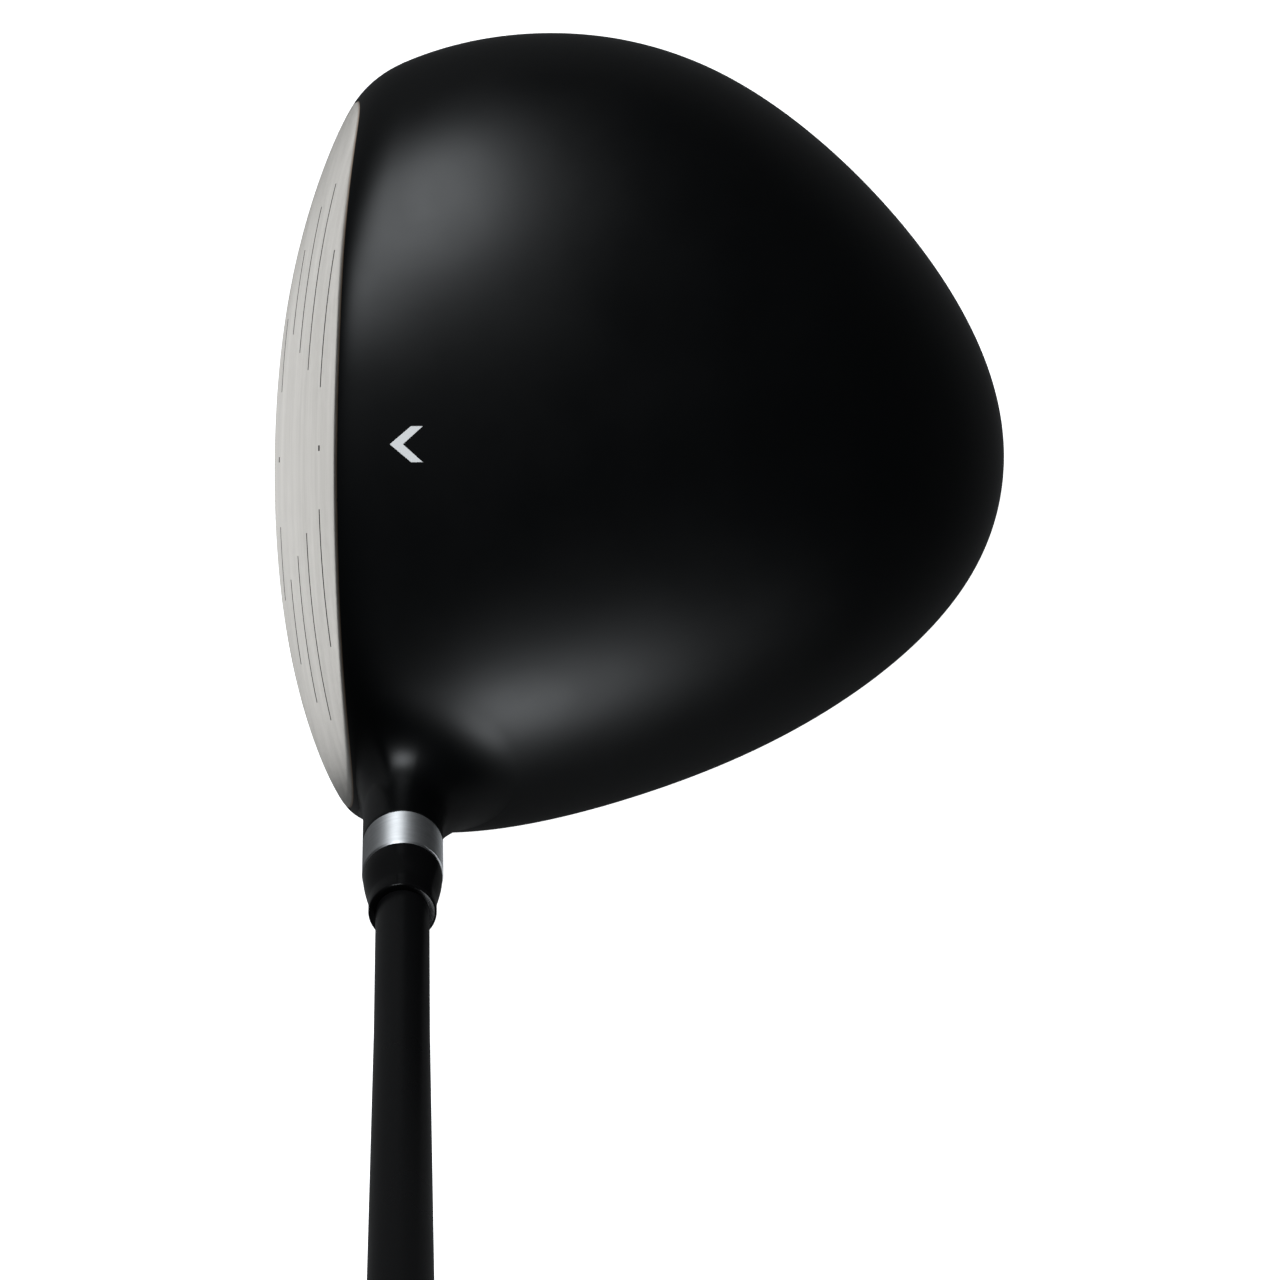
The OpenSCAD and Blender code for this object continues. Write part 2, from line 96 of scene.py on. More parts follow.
def outline(u):
    u = np.asarray(u, float) % len(OUTLINE)
    i = np.floor(u).astype(int)
    f = (u - i)[..., None]
    g = 1 - f
    p, q, r, s = (OUTLINE[(i + k) % len(OUTLINE)] for k in (-1, 0, 1, 2))
    return (g**3 * p + (3 * f**3 - 6 * f**2 + 4) * q + (3 * g**3 - 6 * g**2 + 4) * r + f**3 * s) / 6


def drawn_in(o, top, cosine):
    """x and y of outline points drawn in towards the pole of the crown or of the sole."""
    plan = np.where(top, CROWN_PLAN - CROWN_FRONT * o[..., 1], SOLE_PLAN - SOLE_FRONT * o[..., 1])
    rho = cosine ** (2 / plan)
    pole_y = np.where(top, -CROWN_FWD, 0)
    return o[..., 0] * rho, pole_y + (o[..., 1] - pole_y) * rho


def body_point(u, t):
    """The body before the face is cut: superellipse arcs from the outline to both poles."""
    o = outline(u)
    a = np.clip(np.abs(t), 0, 1) * math.pi / 2
    top = np.asarray(t) >= 0
    rise = np.sin(a) ** (2 / np.where(top, CROWN_RISE, SOLE_RISE))
    waist = WAIST_H - WAIST_SLOPE * o[..., 1]
    z = waist + (np.where(top, HEAD_H, PAD_DROP) - waist) * rise
    return np.stack([*drawn_in(o, top, np.clip(np.cos(a), 0, 1)), z], -1)


def face_y(x, z):
    """The face: bulge, fall at its ends, roll and loft."""
    up = z - FACE_MID_H
    return (-FACE_FWD - x * math.tan(FACE_OPEN) + x * x / (2 * BULGE_R)
            + END_FALL * (x / END_X) ** 4 + up * up / (2 * ROLL_R) + up * math.tan(LOFT))


def cut(p):
    """Body points cut by the face, with a rounded corner between the two."""
    f = face_y(p[..., 0], p[..., 2])
    h = np.clip(FACE_ROUND - np.abs(p[..., 1] - f), 0, None) / FACE_ROUND
    return np.stack([p[..., 0], np.maximum(p[..., 1], f) + h * h * FACE_ROUND / 4, p[..., 2]], -1)


def head_point(u, t):
    return cut(body_point(u, t))


def unit(v):
    return v / np.linalg.norm(v, axis=-1, keepdims=True)


def head_slopes(u, t):
    """How far the surface's point moves over a small step of u, and of t."""
    return (head_point(u + STEP, t) - head_point(u - STEP, t),
            head_point(u, t + STEP) - head_point(u, t - STEP))


def head_normal(u, t):
    du, dt = head_slopes(u, np.clip(t, -1 + 2 * STEP, 1 - 2 * STEP))
    return unit(np.cross(dt, du))


def halve(low, high, is_low, steps=40):
    """The place between low and high where a yes-or-no test turns from yes to no."""
    low, high = np.array(low, float), np.array(high, float)
    for _ in range(steps):
        middle = (low + high) / 2
        yes = is_low(middle)
        low, high = np.where(yes, middle, low), np.where(yes, high, middle)
    return (low + high) / 2


def before_edge(u, t):
    """Whether a body point lies in front of the face plate's edge."""
    p = body_point(u, t)
    return p[..., 1] - face_y(p[..., 0], p[..., 2]) < -FACE_EDGE


# ---- The face plate's edge and the columns of the head's skins

SKIN_STEP = 1.35                 # spacing of the points of the head's skins
EDGE_STEP = 0.8                  # spacing along the face's edge
FIRST_U = 3                      # the skins' first column lies clear of the face and the rings
FACE_U = 12.2                    # a column in the middle of the face
FACE_SPAN_U = (9.0, 16.0)        # columns between which the whole face lies
HEEL_U, TOE_U = 8, 16            # columns behind its heel end and its toe end
REACH = 2.8 * SKIN_STEP          # cells this close to a border are cut into triangles
CLEAR = 0.5 * SKIN_STEP          # grid points this close to a border are left out
LIP_CLEAR = 0.002                # the least distance in t between a lip's point and a skin's end


def angles(n):
    return 2 * math.pi * (np.arange(n) / n)


def on_circle(angle):
    return np.stack([np.cos(angle), np.sin(angle)], -1)


def lattice(x, y):
    """Every pair of an x and a y, as two arrays."""
    return (g.ravel() for g in np.meshgrid(x, y))


def length_along(points):
    return np.concatenate([[0], np.cumsum(np.linalg.norm(np.diff(points, axis=0), axis=-1))])


def respaced(curve, spacing):
    """A (u, t) curve with its points evenly spaced on the surface."""
    along = length_along(head_point(*curve.T))
    at = np.linspace(0, along[-1], round(along[-1] / spacing) + 1)
    return np.stack([np.interp(at, along, c) for c in curve.T], -1)


def face_end(t, rear):
    """Where the face's edge crosses height t, towards the rear column."""
    return np.array([float(halve(FACE_U, rear, lambda u: before_edge(u, t))), t])


def face_edge():
    """The face's edge in four curves: over the crown from toe to heel, down the heel's end,
    along the sole to the toe, and up the toe's end."""
    ray = on_circle(angles(2880)) * [4, 1]
    middle = np.array([FACE_U, 0])
    reach = halve(np.zeros(len(ray)), np.ones(len(ray)),
                  lambda r: before_edge(*(middle + ray * r[:, None]).T))
    curve = middle + ray * reach[:, None]
    toe, heel = face_end(0.0, TOE_U), face_end(0.0, HEEL_U)
    toe_low, heel_low = face_end(-SKIRT_SHARE, TOE_U), face_end(-SKIRT_SHARE, HEEL_U)
    over = curve[curve[:, 1] > 1e-6]
    beside = curve[(curve[:, 1] < -1e-6) & (curve[:, 1] > -SKIRT_SHARE + 1e-4)]
    under = curve[curve[:, 1] < -SKIRT_SHARE - 1e-4]
    down, up = beside[beside[:, 0] < FACE_U], beside[beside[:, 0] > FACE_U]
    curves = [[toe, *over, heel], [heel, *down, heel_low], [heel_low, *under, toe_low],
              [toe_low, *up, toe]]
    return [respaced(np.array(c), EDGE_STEP) for c in curves]


EDGE_OVER, EDGE_HEEL, EDGE_UNDER, EDGE_TOE = face_edge()
EDGE = np.concatenate([c[:-1] for c in (EDGE_OVER, EDGE_HEEL, EDGE_UNDER, EDGE_TOE)])


def even_columns(spacing):
    """Columns once round the outline; the last is the first again."""
    u = np.linspace(FIRST_U, FIRST_U + len(OUTLINE), 4001)
    along = length_along(outline(u))
    return np.interp(np.linspace(0, along[-1], round(along[-1] / spacing) + 1), along, u)


COLUMNS = even_columns(SKIN_STEP)


def plane_of(direction):
    """Two unit vectors square to a direction; the second is level."""
    level = np.array([-direction[1], direction[0], 0.0])
    e2 = unit(level) if np.linalg.norm(level) > 1e-9 else np.array([0.0, 1.0, 0.0])
    return np.cross(e2, direction), e2


NEARBY = 30                      # how far about its lines pierce looks for the surface
ROUNDS, TINY = 12, 1e-5          # rounds of its search, and the step of its slopes


def pierce(foot, direction, across, side):
    """The (u, t) at which lines parallel to direction cross the crown (side 1) or the sole
    (side -1). The lines start at foot moved by the two measures in each row of across."""
    e1, e2 = plane_of(direction)
    u, t = lattice(np.linspace(0, len(OUTLINE), 1120, endpoint=False),
                   side * np.linspace(0.01, 0.99, 150))
    p = head_point(u, t) - foot
    near = np.hypot(p @ e1, p @ e2) < np.abs(across).max() + NEARBY
    near &= head_normal(u, t) @ direction > 0
    u, t, flat = u[near], t[near], np.stack([p[near] @ e1, p[near] @ e2], -1)
    pick = np.array([np.argmin(((flat - a) ** 2).sum(-1)) for a in across])
    u, t = u[pick], t[pick]

    def miss(u, t):
        p = head_point(u, t) - foot
        return np.stack([p @ e1, p @ e2], -1) - across

    for _ in range(ROUNDS):
        m, h = miss(u, t), -side * TINY
        mu, mt = (miss(u + TINY, t) - m) / TINY, (miss(u, t + h) - m) / h
        det = mu[:, 0] * mt[:, 1] - mu[:, 1] * mt[:, 0]
        u = u - (m[:, 0] * mt[:, 1] - m[:, 1] * mt[:, 0]) / det
        t = t - (mu[:, 0] * m[:, 1] - mu[:, 1] * m[:, 0]) / det
        t = side * np.clip(side * t, 1e-4, 0.9995)
    return u, t


# ---- Skins: points with normals, and faces over them

def grid_faces(cols, rows, closed=False):
    """Four-sided faces over columns of points that run round in a ring. With closed, each
    column's last point also meets its first."""
    faces = []
    for i in range(cols):
        a, b = i * rows, (i + 1) % cols * rows
        pairs = [(j, (j + 1) % rows) for j in range(rows if closed else rows - 1)]
        faces += [(a + j, b + j, b + k, a + k) for j, k in pairs]
    return faces


def inside(polygon, points):
    """Which points lie inside a closed polygon."""
    a, b = polygon, np.roll(polygon, -1, 0)
    x, y = points[:, 0, None], points[:, 1, None]
    crosses = (a[:, 1] > y) != (b[:, 1] > y)
    with np.errstate(divide="ignore", invalid="ignore"):
        at = a[:, 0] + (y - a[:, 1]) / (b[:, 1] - a[:, 1]) * (b[:, 0] - a[:, 0])
    return (crosses & (x < at)).sum(1) % 2 == 1


def distance(a, b):
    return np.sqrt(((a[:, None] - b[None]) ** 2).sum(-1))


def triangulate(points, edges):
    """Triangles over points in a plane; the pairs of point numbers in edges stay edges."""
    out = delaunay_2d_cdt([Vector(p) for p in points.tolist()], edges, [], 0, 1e-7)
    back = [o[0] for o in out[3]]
    return [tuple(back[v] for v in f) for f in out[2]]


def middles_of(points, faces):
    return np.array([points[list(f)].mean(0) for f in faces])


def loop_edges(numbers):
    return [(a, b) for a, b in zip(numbers, numbers[1:] + numbers[:1])]


def beside_edge(curve, offset):
    """Points of the surface at an offset from the face's edge, on the side away from the face."""
    along = np.gradient(head_point(*curve.T), axis=0)
    u, t = curve.T
    normal = head_normal(u, t)
    out = unit(np.cross(normal, along))
    du, dt = (slope / (2 * STEP) for slope in head_slopes(u, t))
    uu, ut, tt = (du * du).sum(-1), (du * dt).sum(-1), (dt * dt).sum(-1)
    bu, bt = (du * out).sum(-1) * offset, (dt * out).sum(-1) * offset
    det = uu * tt - ut * ut
    step = np.stack([(bu * tt - bt * ut) / det, (uu * bt - ut * bu) / det], -1)
    return curve + np.where(inside(EDGE, curve + step)[:, None], -step, step)


class Grid:
    """A skin's columns and rows, which are also laid out flat with square cells."""

    def __init__(self, share, t_start, t_end):
        self.share, self.t_start = share, t_start
        self.ends = np.broadcast_to(t_end, len(COLUMNS))
        self.cols, self.rows = len(COLUMNS) - 1, len(share)
        self.u = np.repeat(COLUMNS[:self.cols, None], self.rows, 1)
        self.t = t_start + (self.ends[:self.cols, None] - t_start) * share

    def spot(self, curve):
        """Where (u, t) points lie in the flat layout."""
        u, t = curve.T
        part = (t - self.t_start) / (np.interp(u, COLUMNS, self.ends) - self.t_start)
        row = np.interp(part, self.share, np.arange(self.rows))
        row += np.minimum(part, 0) / self.share[1]
        return np.stack([np.interp(u, COLUMNS, np.arange(self.cols + 1)), row], -1) * SKIN_STEP

    def sort_cells(self, border, gone):
        """The cells close to the border, and the cells that are kept as they are."""
        i, j = np.indices((self.cols - 1, self.rows - 1)).reshape(2, -1)
        centres = (np.stack([i, j], -1) + 0.5) * SKIN_STEP
        box = (border.min(0) - REACH, border.max(0) + REACH)
        near = np.all((centres > box[0]) & (centres < box[1]), -1)
        near[near] = distance(centres[near], border).min(1) < REACH
        touched = np.zeros((self.cols, self.rows), bool)
        touched[i[near], j[near]] = True
        kept = ~touched
        kept[i, j] &= ~gone(centres)
        kept[:, -1] = False
        return touched, kept

    def quads(self, kept):
        faces = []
        for i, j in zip(*np.nonzero(kept)):
            a, b = int(i * self.rows + j), int((i + 1) % self.cols * self.rows + j)
            faces.append((a, b, b + 1, a + 1))
        return faces


def corners_of(cells):
    """The grid points at the corners of the marked cells, as (column, row)."""
    cols, rows = cells.shape
    corners = np.zeros_like(cells)
    for di in (0, 1):
        for dj in (0, 1):
            corners[di:, dj:] |= cells[:cols - di, :rows - dj]
    return np.stack(np.nonzero(corners), -1)


def edges_between(touched, kept, number):
    """The edges where a touched cell meets a kept one; number holds each grid point's number."""
    cols, rows = touched.shape
    edges = []
    for di, dj, ends_at in ((1, 0, ((0, 0), (0, 1))), (0, 1, ((0, 0), (1, 0)))):
        low, high = np.s_[:cols - di, :rows - dj], np.s_[di:, dj:]
        meet = (touched[low] & kept[high]) | (touched[high] & kept[low])
        for i, j in zip(*np.nonzero(meet)):
            pair = [int(number[i + di + x, j + dj + y]) for x, y in ends_at]
            if min(pair) >= 0:
                edges.append(tuple(pair))
    return edges


def skin_faces(grid, curves, hole, lips):
    """Kept cells as four-sided faces, and triangles between them and the borders. The faces
    number the grid's points first, then those of the borders and the lips."""
    rings = list(curves) + ([] if hole is None else [hole])
    areas = [grid.spot(EDGE)] + ([] if hole is None else [grid.spot(hole)])
    border_at, lips_at = grid.spot(np.concatenate(rings)), grid.spot(lips)

    def gone(points):
        return np.any([inside(area, points) for area in areas], 0)

    touched, kept = grid.sort_cells(border_at, gone)
    corners = corners_of(touched)
    at = corners * SKIN_STEP
    clear = distance(at, np.concatenate([border_at, lips_at])).min(1) > CLEAR
    clear &= ~gone(at)
    corners, at = corners[clear], at[clear]
    number = -np.ones(touched.shape, int)
    number[tuple(corners.T)] = np.arange(len(corners))
    edges, start = edges_between(touched, kept, number), len(at)
    for ring in rings:
        links = loop_edges(list(range(start, start + len(ring))))
        edges += links if ring is hole else links[:-1]
        start += len(ring)
    flat = np.concatenate([at, border_at, lips_at])
    triangles = triangulate(flat, edges)
    middles = middles_of(flat, triangles)
    cell = np.clip(np.floor(middles / SKIN_STEP).astype(int), 0, [grid.cols - 1, grid.rows - 1])
    good = touched[tuple(cell.T)] & ~gone(middles)
    added = len(border_at) + len(lips_at)
    name = np.concatenate([corners @ [grid.rows, 1], grid.cols * grid.rows + np.arange(added)])
    triangles = [tuple(int(name[v]) for v in f) for f, yes in zip(triangles, good) if yes]
    return triangles + grid.quads(kept)


def head_skin(share, t_start, t_end, curves, hole=None, sunk_end=0.0, pole=False):
    """A skin over the columns. Its rows lie at the shares of the way from t_start to t_end,
    which may differ from column to column; a pole closes the last row. The face plate's area
    is left out: curves are the parts of its edge that bound the skin, which sink there by the
    seam's depth. A hole is a closed (u, t) ring whose area is left out too."""
    grid = Grid(share, t_start, t_end)
    low, high = min(t_start, grid.ends.min()), max(t_start, grid.ends.max())
    lips = np.concatenate([beside_edge(c, SEAM_W) for c in curves])
    lips = lips[(lips[:, 1] > low + LIP_CLEAR) & (lips[:, 1] < high - LIP_CLEAR)]
    lips = lips[~inside(EDGE, lips)]
    faces = skin_faces(grid, curves, hole, lips)

    points, normals = head_point(grid.u, grid.t), head_normal(grid.u, grid.t)
    points[:, -1] -= normals[:, -1] * sunk_end
    more = np.concatenate([*curves, *([] if hole is None else [hole]), lips])
    more_points, more_normals = head_point(*more.T), head_normal(*more.T)
    seam_count = sum(len(c) for c in curves)
    more_points[:seam_count] -= more_normals[:seam_count] * SEAM
    points = np.concatenate([points.reshape(-1, 3), more_points])
    normals = np.concatenate([normals.reshape(-1, 3), more_normals])
    if pole:
        last, top = len(points), float(grid.ends[0])
        ends = list(range(grid.rows - 1, grid.cols * grid.rows, grid.rows))
        faces += [(a, b, last) for a, b in loop_edges(ends)]
        points = np.concatenate([points, head_point(np.array([0.0]), np.array([top]))])
        normals = np.concatenate([normals, [[0.0, 0.0, top]]])
    return merged(points, normals, faces)


def merged(points, normals, faces):
    """Drops the points that no face uses, and joins points that share a place."""
    _, first, same = np.unique(np.round(points, 5), axis=0, return_index=True, return_inverse=True)
    same = same.ravel()
    faces = [tuple(int(same[v]) for v in f) for f in faces]
    faces = [f for f in faces if len(set(f)) == len(f)]
    used = np.unique([v for f in faces for v in f])
    order = -np.ones(len(first), int)
    order[used] = np.arange(len(used))
    faces = [tuple(int(order[v]) for v in f) for f in faces]
    return points[first[used]], normals[first[used]], faces


def turned_outwards(points, normals, faces):
    """The faces, each in the order that makes it look the way that its corners' normals do."""
    out = []
    for f in faces:
        a, b, c = points[f[0]], points[f[1]], points[f[2]]
        facing = np.dot(np.cross(b - a, c - a), normals[f[0]] + normals[f[1]] + normals[f[2]])
        out.append(f if facing > 0 else f[::-1])
    return out


def thicken(points, normals, faces, wall, base=None):
    """A closed shell from a skin: the skin, a copy of it a wall's thickness inside, and rims.
    The last thing it gives is the rims' numbers among the faces."""
    inner = (points if base is None else base) - normals * np.reshape(wall, (-1, 1))
    n = len(points)
    edges = {(f[k - 1], f[k]) for f in faces for k in range(len(f))}
    open_edges = [(a, b) for a, b in edges if (b, a) not in edges]
    rims = [(b, a, a + n, b + n) for a, b in sorted(open_edges)]
    sides = list(faces) + [tuple(v + n for v in f[::-1]) for f in faces]
    return (np.concatenate([points, inner]), np.concatenate([normals, -normals]),
            sides + rims, list(range(len(sides), len(sides) + len(rims))))


def add_object(name, data):
    new = bpy.data.objects.new(name, data)
    bpy.context.scene.collection.objects.link(new)
    return new


SHARP, GRIP_SHARP = math.radians(35), math.radians(28)   # edges at least this sharp look sharp


def make_piece(name, points, faces, normals=None, flat=(), looks=(), look_of=None,
               stands_for=(), place=None):
    """A mesh object from points in millimetres. flat holds the numbers of the faces that are
    shaded flat; look_of gives a face's material number."""
    mesh = bpy.data.meshes.new(name)
    mesh.from_pydata((np.asarray(points) * MM).tolist(), [], [tuple(map(int, f)) for f in faces])
    mesh.polygons.foreach_set("use_smooth", [True] * len(mesh.polygons))
    for look in looks:
        mesh.materials.append(look)
    if look_of is not None:
        mesh.polygons.foreach_set("material_index", look_of)
    if normals is None:
        mesh.set_sharp_from_angle(angle=SHARP)
    else:
        corner = np.array(normals)[np.array([v for f in faces for v in f])]
        starts = np.cumsum([0] + [len(f) for f in faces])
        for k in flat:
            corner[starts[k]:starts[k + 1]] = mesh.polygons[k].normal
        mesh.normals_split_custom_set(corner.tolist())
    piece = add_object(name, mesh)
    if place is not None:
        piece.matrix_world = place
    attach(piece, BODY)
    if stands_for:
        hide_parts(*stands_for)
    return piece


def make_shell(name, skin, wall, look, stands_for):
    points, normals, faces = skin
    faces = turned_outwards(points, normals, faces)
    points, normals, faces, rims = thicken(points, normals, faces, wall)
    return make_piece(name, points, faces, normals, rims, [look], None, stands_for)


# ---- Materials

def blended(tree, factor, first, second):
    """A colour between first and second, each of which is a colour or a socket."""
    mix = tree.nodes.new("ShaderNodeMix")
    mix.data_type = "RGBA"
    tree.links.new(factor, mix.inputs["Factor"])
    for key, value in (("A", first), ("B", second)):
        if isinstance(value, tuple):
            mix.inputs[key].default_value = (*value, 1)
        else:
            tree.links.new(value, mix.inputs[key])
    return mix.outputs["Result"]


class Look:
    """A Principled material that is built up one texture at a time."""

    def __init__(self, name, colour, roughness, metallic=0.0, **sockets):
        self.material = bpy.data.materials.new(name)
        self.material.use_nodes = True
        self.nodes = self.material.node_tree.nodes
        self.links = self.material.node_tree.links
        self.shader = self.nodes["Principled BSDF"]
        self.place = self.nodes.new("ShaderNodeTexCoord").outputs["Object"]
        sockets.update({"Base Color": (*colour, 1), "Roughness": roughness, "Metallic": metallic})
        for key, value in sockets.items():
            self.shader.inputs[key].default_value = value
        self.normal = None

    def noise(self, grain, detail=2.0):
        """Noise with a grain of the given size in millimetres, or sizes along X, Y and Z."""
        size = self.nodes.new("ShaderNodeVectorMath")
        size.operation = "MULTIPLY"
        size.inputs[1].default_value = [1 / (g * MM) for g in np.broadcast_to(grain, 3)]
        self.links.new(self.place, size.inputs[0])
        noise = self.nodes.new("ShaderNodeTexNoise")
        noise.inputs["Scale"].default_value = 1.0
        noise.inputs["Detail"].default_value = detail
        self.links.new(size.outputs[0], noise.inputs["Vector"])
        return noise.outputs["Fac"]

    def spread(self, value, low, high, start=0.3, end=0.7):
        """A value from start to end, stretched to run from low to high."""
        node = self.nodes.new("ShaderNodeMapRange")
        node.inputs["From Min"].default_value = start
        node.inputs["From Max"].default_value = end
        node.inputs["To Min"].default_value = low
        node.inputs["To Max"].default_value = high
        self.links.new(value, node.inputs["Value"])
        return node.outputs["Result"]

    def rough(self, value, low, high):
        self.links.new(self.spread(value, low, high), self.shader.inputs["Roughness"])

    def tint(self, value, first, second):
        colour = blended(self.material.node_tree, value, first, second)
        self.links.new(colour, self.shader.inputs["Base Color"])
        return colour

    def mottle(self, value, first, second):
        """Tints the surface with noise between two colours."""
        return self.tint(self.spread(value, 0, 1), first, second)

    def bump(self, value, height):
        """Relief with the given height in millimetres."""
        node = self.nodes.new("ShaderNodeBump")
        node.inputs["Distance"].default_value = height * MM
        self.links.new(value, node.inputs["Height"])
        if self.normal:
            self.links.new(self.normal, node.inputs["Normal"])
        self.normal = node.outputs["Normal"]
        self.links.new(self.normal, self.shader.inputs["Normal"])

    def turned(self, anisotropy):
        """Stretches the gloss along Z, as fine rings about Z do."""
        tangent = self.nodes.new("ShaderNodeTangent")
        tangent.direction_type = "RADIAL"
        tangent.axis = "Z"
        self.shader.inputs["Anisotropic"].default_value = anisotropy
        self.shader.inputs["Anisotropic Rotation"].default_value = 0.25
        self.links.new(tangent.outputs["Tangent"], self.shader.inputs["Tangent"])


# In these, rough is the least and the greatest roughness; grain, lines and patches are sizes
# in millimetres, and depth is a relief's height in millimetres.

PATCHES, PEEL, PEEL_DEPTH = 14, 2.2, 0.002     # uneven gloss and orange peel of paint
RING_LINES, RING_PATCHES = (6, 6, 0.09), (3, 3, 0.6)


def paint(name, colour, rough, grain=0.3, depth=0.0015, ior=1.5):
    """Sprayed paint: a fine grain, a slow orange peel and slightly uneven gloss."""
    look = Look(name, colour, rough[0], IOR=ior)
    look.rough(look.noise(PATCHES, 3), *rough)
    look.bump(look.noise(PEEL), PEEL_DEPTH)
    look.bump(look.noise(grain), depth)
    return look.material


def brushed(name, colours, rough, lines, patches, depth):
    """Metal with fine parallel lines, in two shades."""
    look = Look(name, colours[0], rough[0], 1.0)
    fine = look.noise(lines, 3)
    look.colour = look.mottle(look.noise(patches, 3), *colours)
    look.rough(fine, *rough)
    look.bump(fine, depth)
    return look


def face_look():
    """Brushed from toe to heel, and browner down in the seam at its rim."""
    look = brushed("face_titanium", ((0.585, 0.570, 0.540), (0.500, 0.486, 0.458)), (0.34, 0.50),
                   lines=(9, 0.12, 0.12), patches=(40, 2.5, 2.5), depth=0.002)
    rim = look.nodes.new("ShaderNodeAttribute")
    rim.attribute_name = "rim"
    look.tint(rim.outputs["Fac"], look.colour, (0.20, 0.13, 0.08))
    return look.material


def turned_metal(name, colours, rough, anisotropy=0.5):
    """Metal turned about local Z, with fine rings round it."""
    look = brushed(name, colours, rough, RING_LINES, RING_PATCHES, depth=0.0035)
    look.turned(anisotropy)
    return look.material


def plastic(name, colour, rough, grain=0.5, depth=0.002, ior=1.5):
    look = Look(name, colour, rough[0], IOR=ior)
    look.rough(look.noise(5, 4), *rough)
    look.bump(look.noise(grain, 3), depth)
    return look.material


def rubber():
    sheen = {"Sheen Weight": 0.15, "Sheen Roughness": 0.5}
    look = Look("rubber", (0.012, 0.012, 0.012), 0.7, **sheen)
    look.mottle(look.noise(9, 4), (0.010, 0.010, 0.010), (0.018, 0.0175, 0.017))
    look.rough(look.noise(1.2, 3), 0.62, 0.82)
    look.bump(look.noise(0.35, 3), 0.012)
    return look.material


def grip_tape():
    """Paper tape with streaks along the shaft."""
    look = Look("tape", (0.7, 0.66, 0.56), 0.6)
    look.mottle(look.noise((0.6, 0.6, 14), 3), (0.74, 0.70, 0.60), (0.62, 0.58, 0.48))
    look.bump(look.noise(0.5, 3), 0.02)
    return look.material


PAINT = paint("matt_black", (0.0012, 0.0014, 0.0016), (0.345, 0.385), depth=0.003, ior=1.32)
SOLE_PAINT = paint("sole_black", (0.0060, 0.0062, 0.0066), (0.26, 0.34), grain=0.5, depth=0.001)
SHAFT_PAINT = paint("shaft_black", (0.0045, 0.0045, 0.0048), (0.26, 0.33), 0.25, 0.0008, ior=1.24)
MARK_PAINT = paint("white_mark", (0.92, 0.92, 0.92), (0.32, 0.40), grain=0.2, depth=0.001)
GROOVE_PAINT = paint("groove_black", (0.010, 0.010, 0.010), (0.55, 0.70), grain=0.1, depth=0.004)
FACE_METAL = face_look()
ALUMINIUM = turned_metal("turned_aluminium", ((0.84, 0.85, 0.86), (0.74, 0.75, 0.76)),
                         (0.52, 0.60), anisotropy=0.8)
STEEL = turned_metal("turned_steel", ((0.62, 0.62, 0.63), (0.52, 0.52, 0.53)), (0.20, 0.32))
TUNGSTEN = turned_metal("turned_tungsten", ((0.36, 0.36, 0.38), (0.30, 0.30, 0.31)), (0.28, 0.40))
TITANIUM = turned_metal("turned_titanium", ((0.44, 0.42, 0.40), (0.36, 0.345, 0.33)), (0.32, 0.46))
BRASS = turned_metal("turned_brass", ((0.75, 0.55, 0.24), (0.66, 0.47, 0.19)), (0.25, 0.38))
GLOSS_BLACK = plastic("gloss_black", (0.0040, 0.0040, 0.0042), (0.16, 0.24), ior=1.2)
NYLON = plastic("nylon", (0.78, 0.76, 0.70), (0.40, 0.50))
GLUE = plastic("glue", (0.62, 0.47, 0.20), (0.25, 0.45), grain=3, depth=0.05)
RUBBER = rubber()
TAPE = grip_tape()


# ---- Head

RING_POINTS = 144                # points round the neck's foot
FILLET_ROWS, WALL_ROWS = 28, 12  # rows of points up its fillet and up its straight wall
NECK_TOP_S = 66                  # where the fillet ends at the latest, along the shaft's axis
NECK_CHAMFER = 0.2
FLARE, MORE_FLARE = 5.3, 8.2     # the fillet's width, and how much wider it is on its wide side
WIDE_SIDE, LONG_SIDE = 135, -10  # angles of its wide side and of its long side, at the heel
FILLET, LONG_FILLET = 0.78, 0.8  # power of its curve, and how much more it is on the long side
EDGE_CLEAR = 0.6                 # the least gap between the fillet's foot and the face's edge
EDGE_VIEW = 0.12                 # half the angle over which the edge counts as being in the way
FAR, BLEND = 40, 8               # the gap where no edge is in the way, and the blend's power
SMOOTH = 5                       # directions on each side over which the gap is smoothed
LEAST_WALL = 2                   # the least height of the straight wall


def room_for_neck(angle):
    """Distance from the shaft's axis to the face's edge in each direction, where it is near."""
    e1, e2 = plane_of(AXIS)
    gap = head_point(*EDGE.T) - AXIS_FOOT
    along, away = np.arctan2(gap @ e2, gap @ e1), np.hypot(gap @ e1, gap @ e2)
    turn = (angle[:, None] - along + math.pi) % (2 * math.pi) - math.pi
    near = np.where(np.abs(turn) < EDGE_VIEW, away, FAR).min(1)
    window = np.hanning(2 * SMOOTH + 1)
    near = np.concatenate([near[-SMOOTH:], near, near[:SMOOTH]])
    return np.convolve(near, window / window.sum(), "valid")


def towards(angle, side):
    """1 on the neck's side at the given angle in degrees, 0 on the opposite side."""
    return (1 + np.cos(angle - math.radians(side))) / 2


def neck_reach(angle):
    """Distance from the axis at which the neck leaves the crown. It is greatest between the
    toe and the back, and keeps clear of the face's edge."""
    wish = NECK_R + FLARE + MORE_FLARE * towards(angle, WIDE_SIDE)
    room = room_for_neck(angle) - EDGE_CLEAR
    return (wish ** -BLEND + room ** -BLEND) ** (-1 / BLEND)


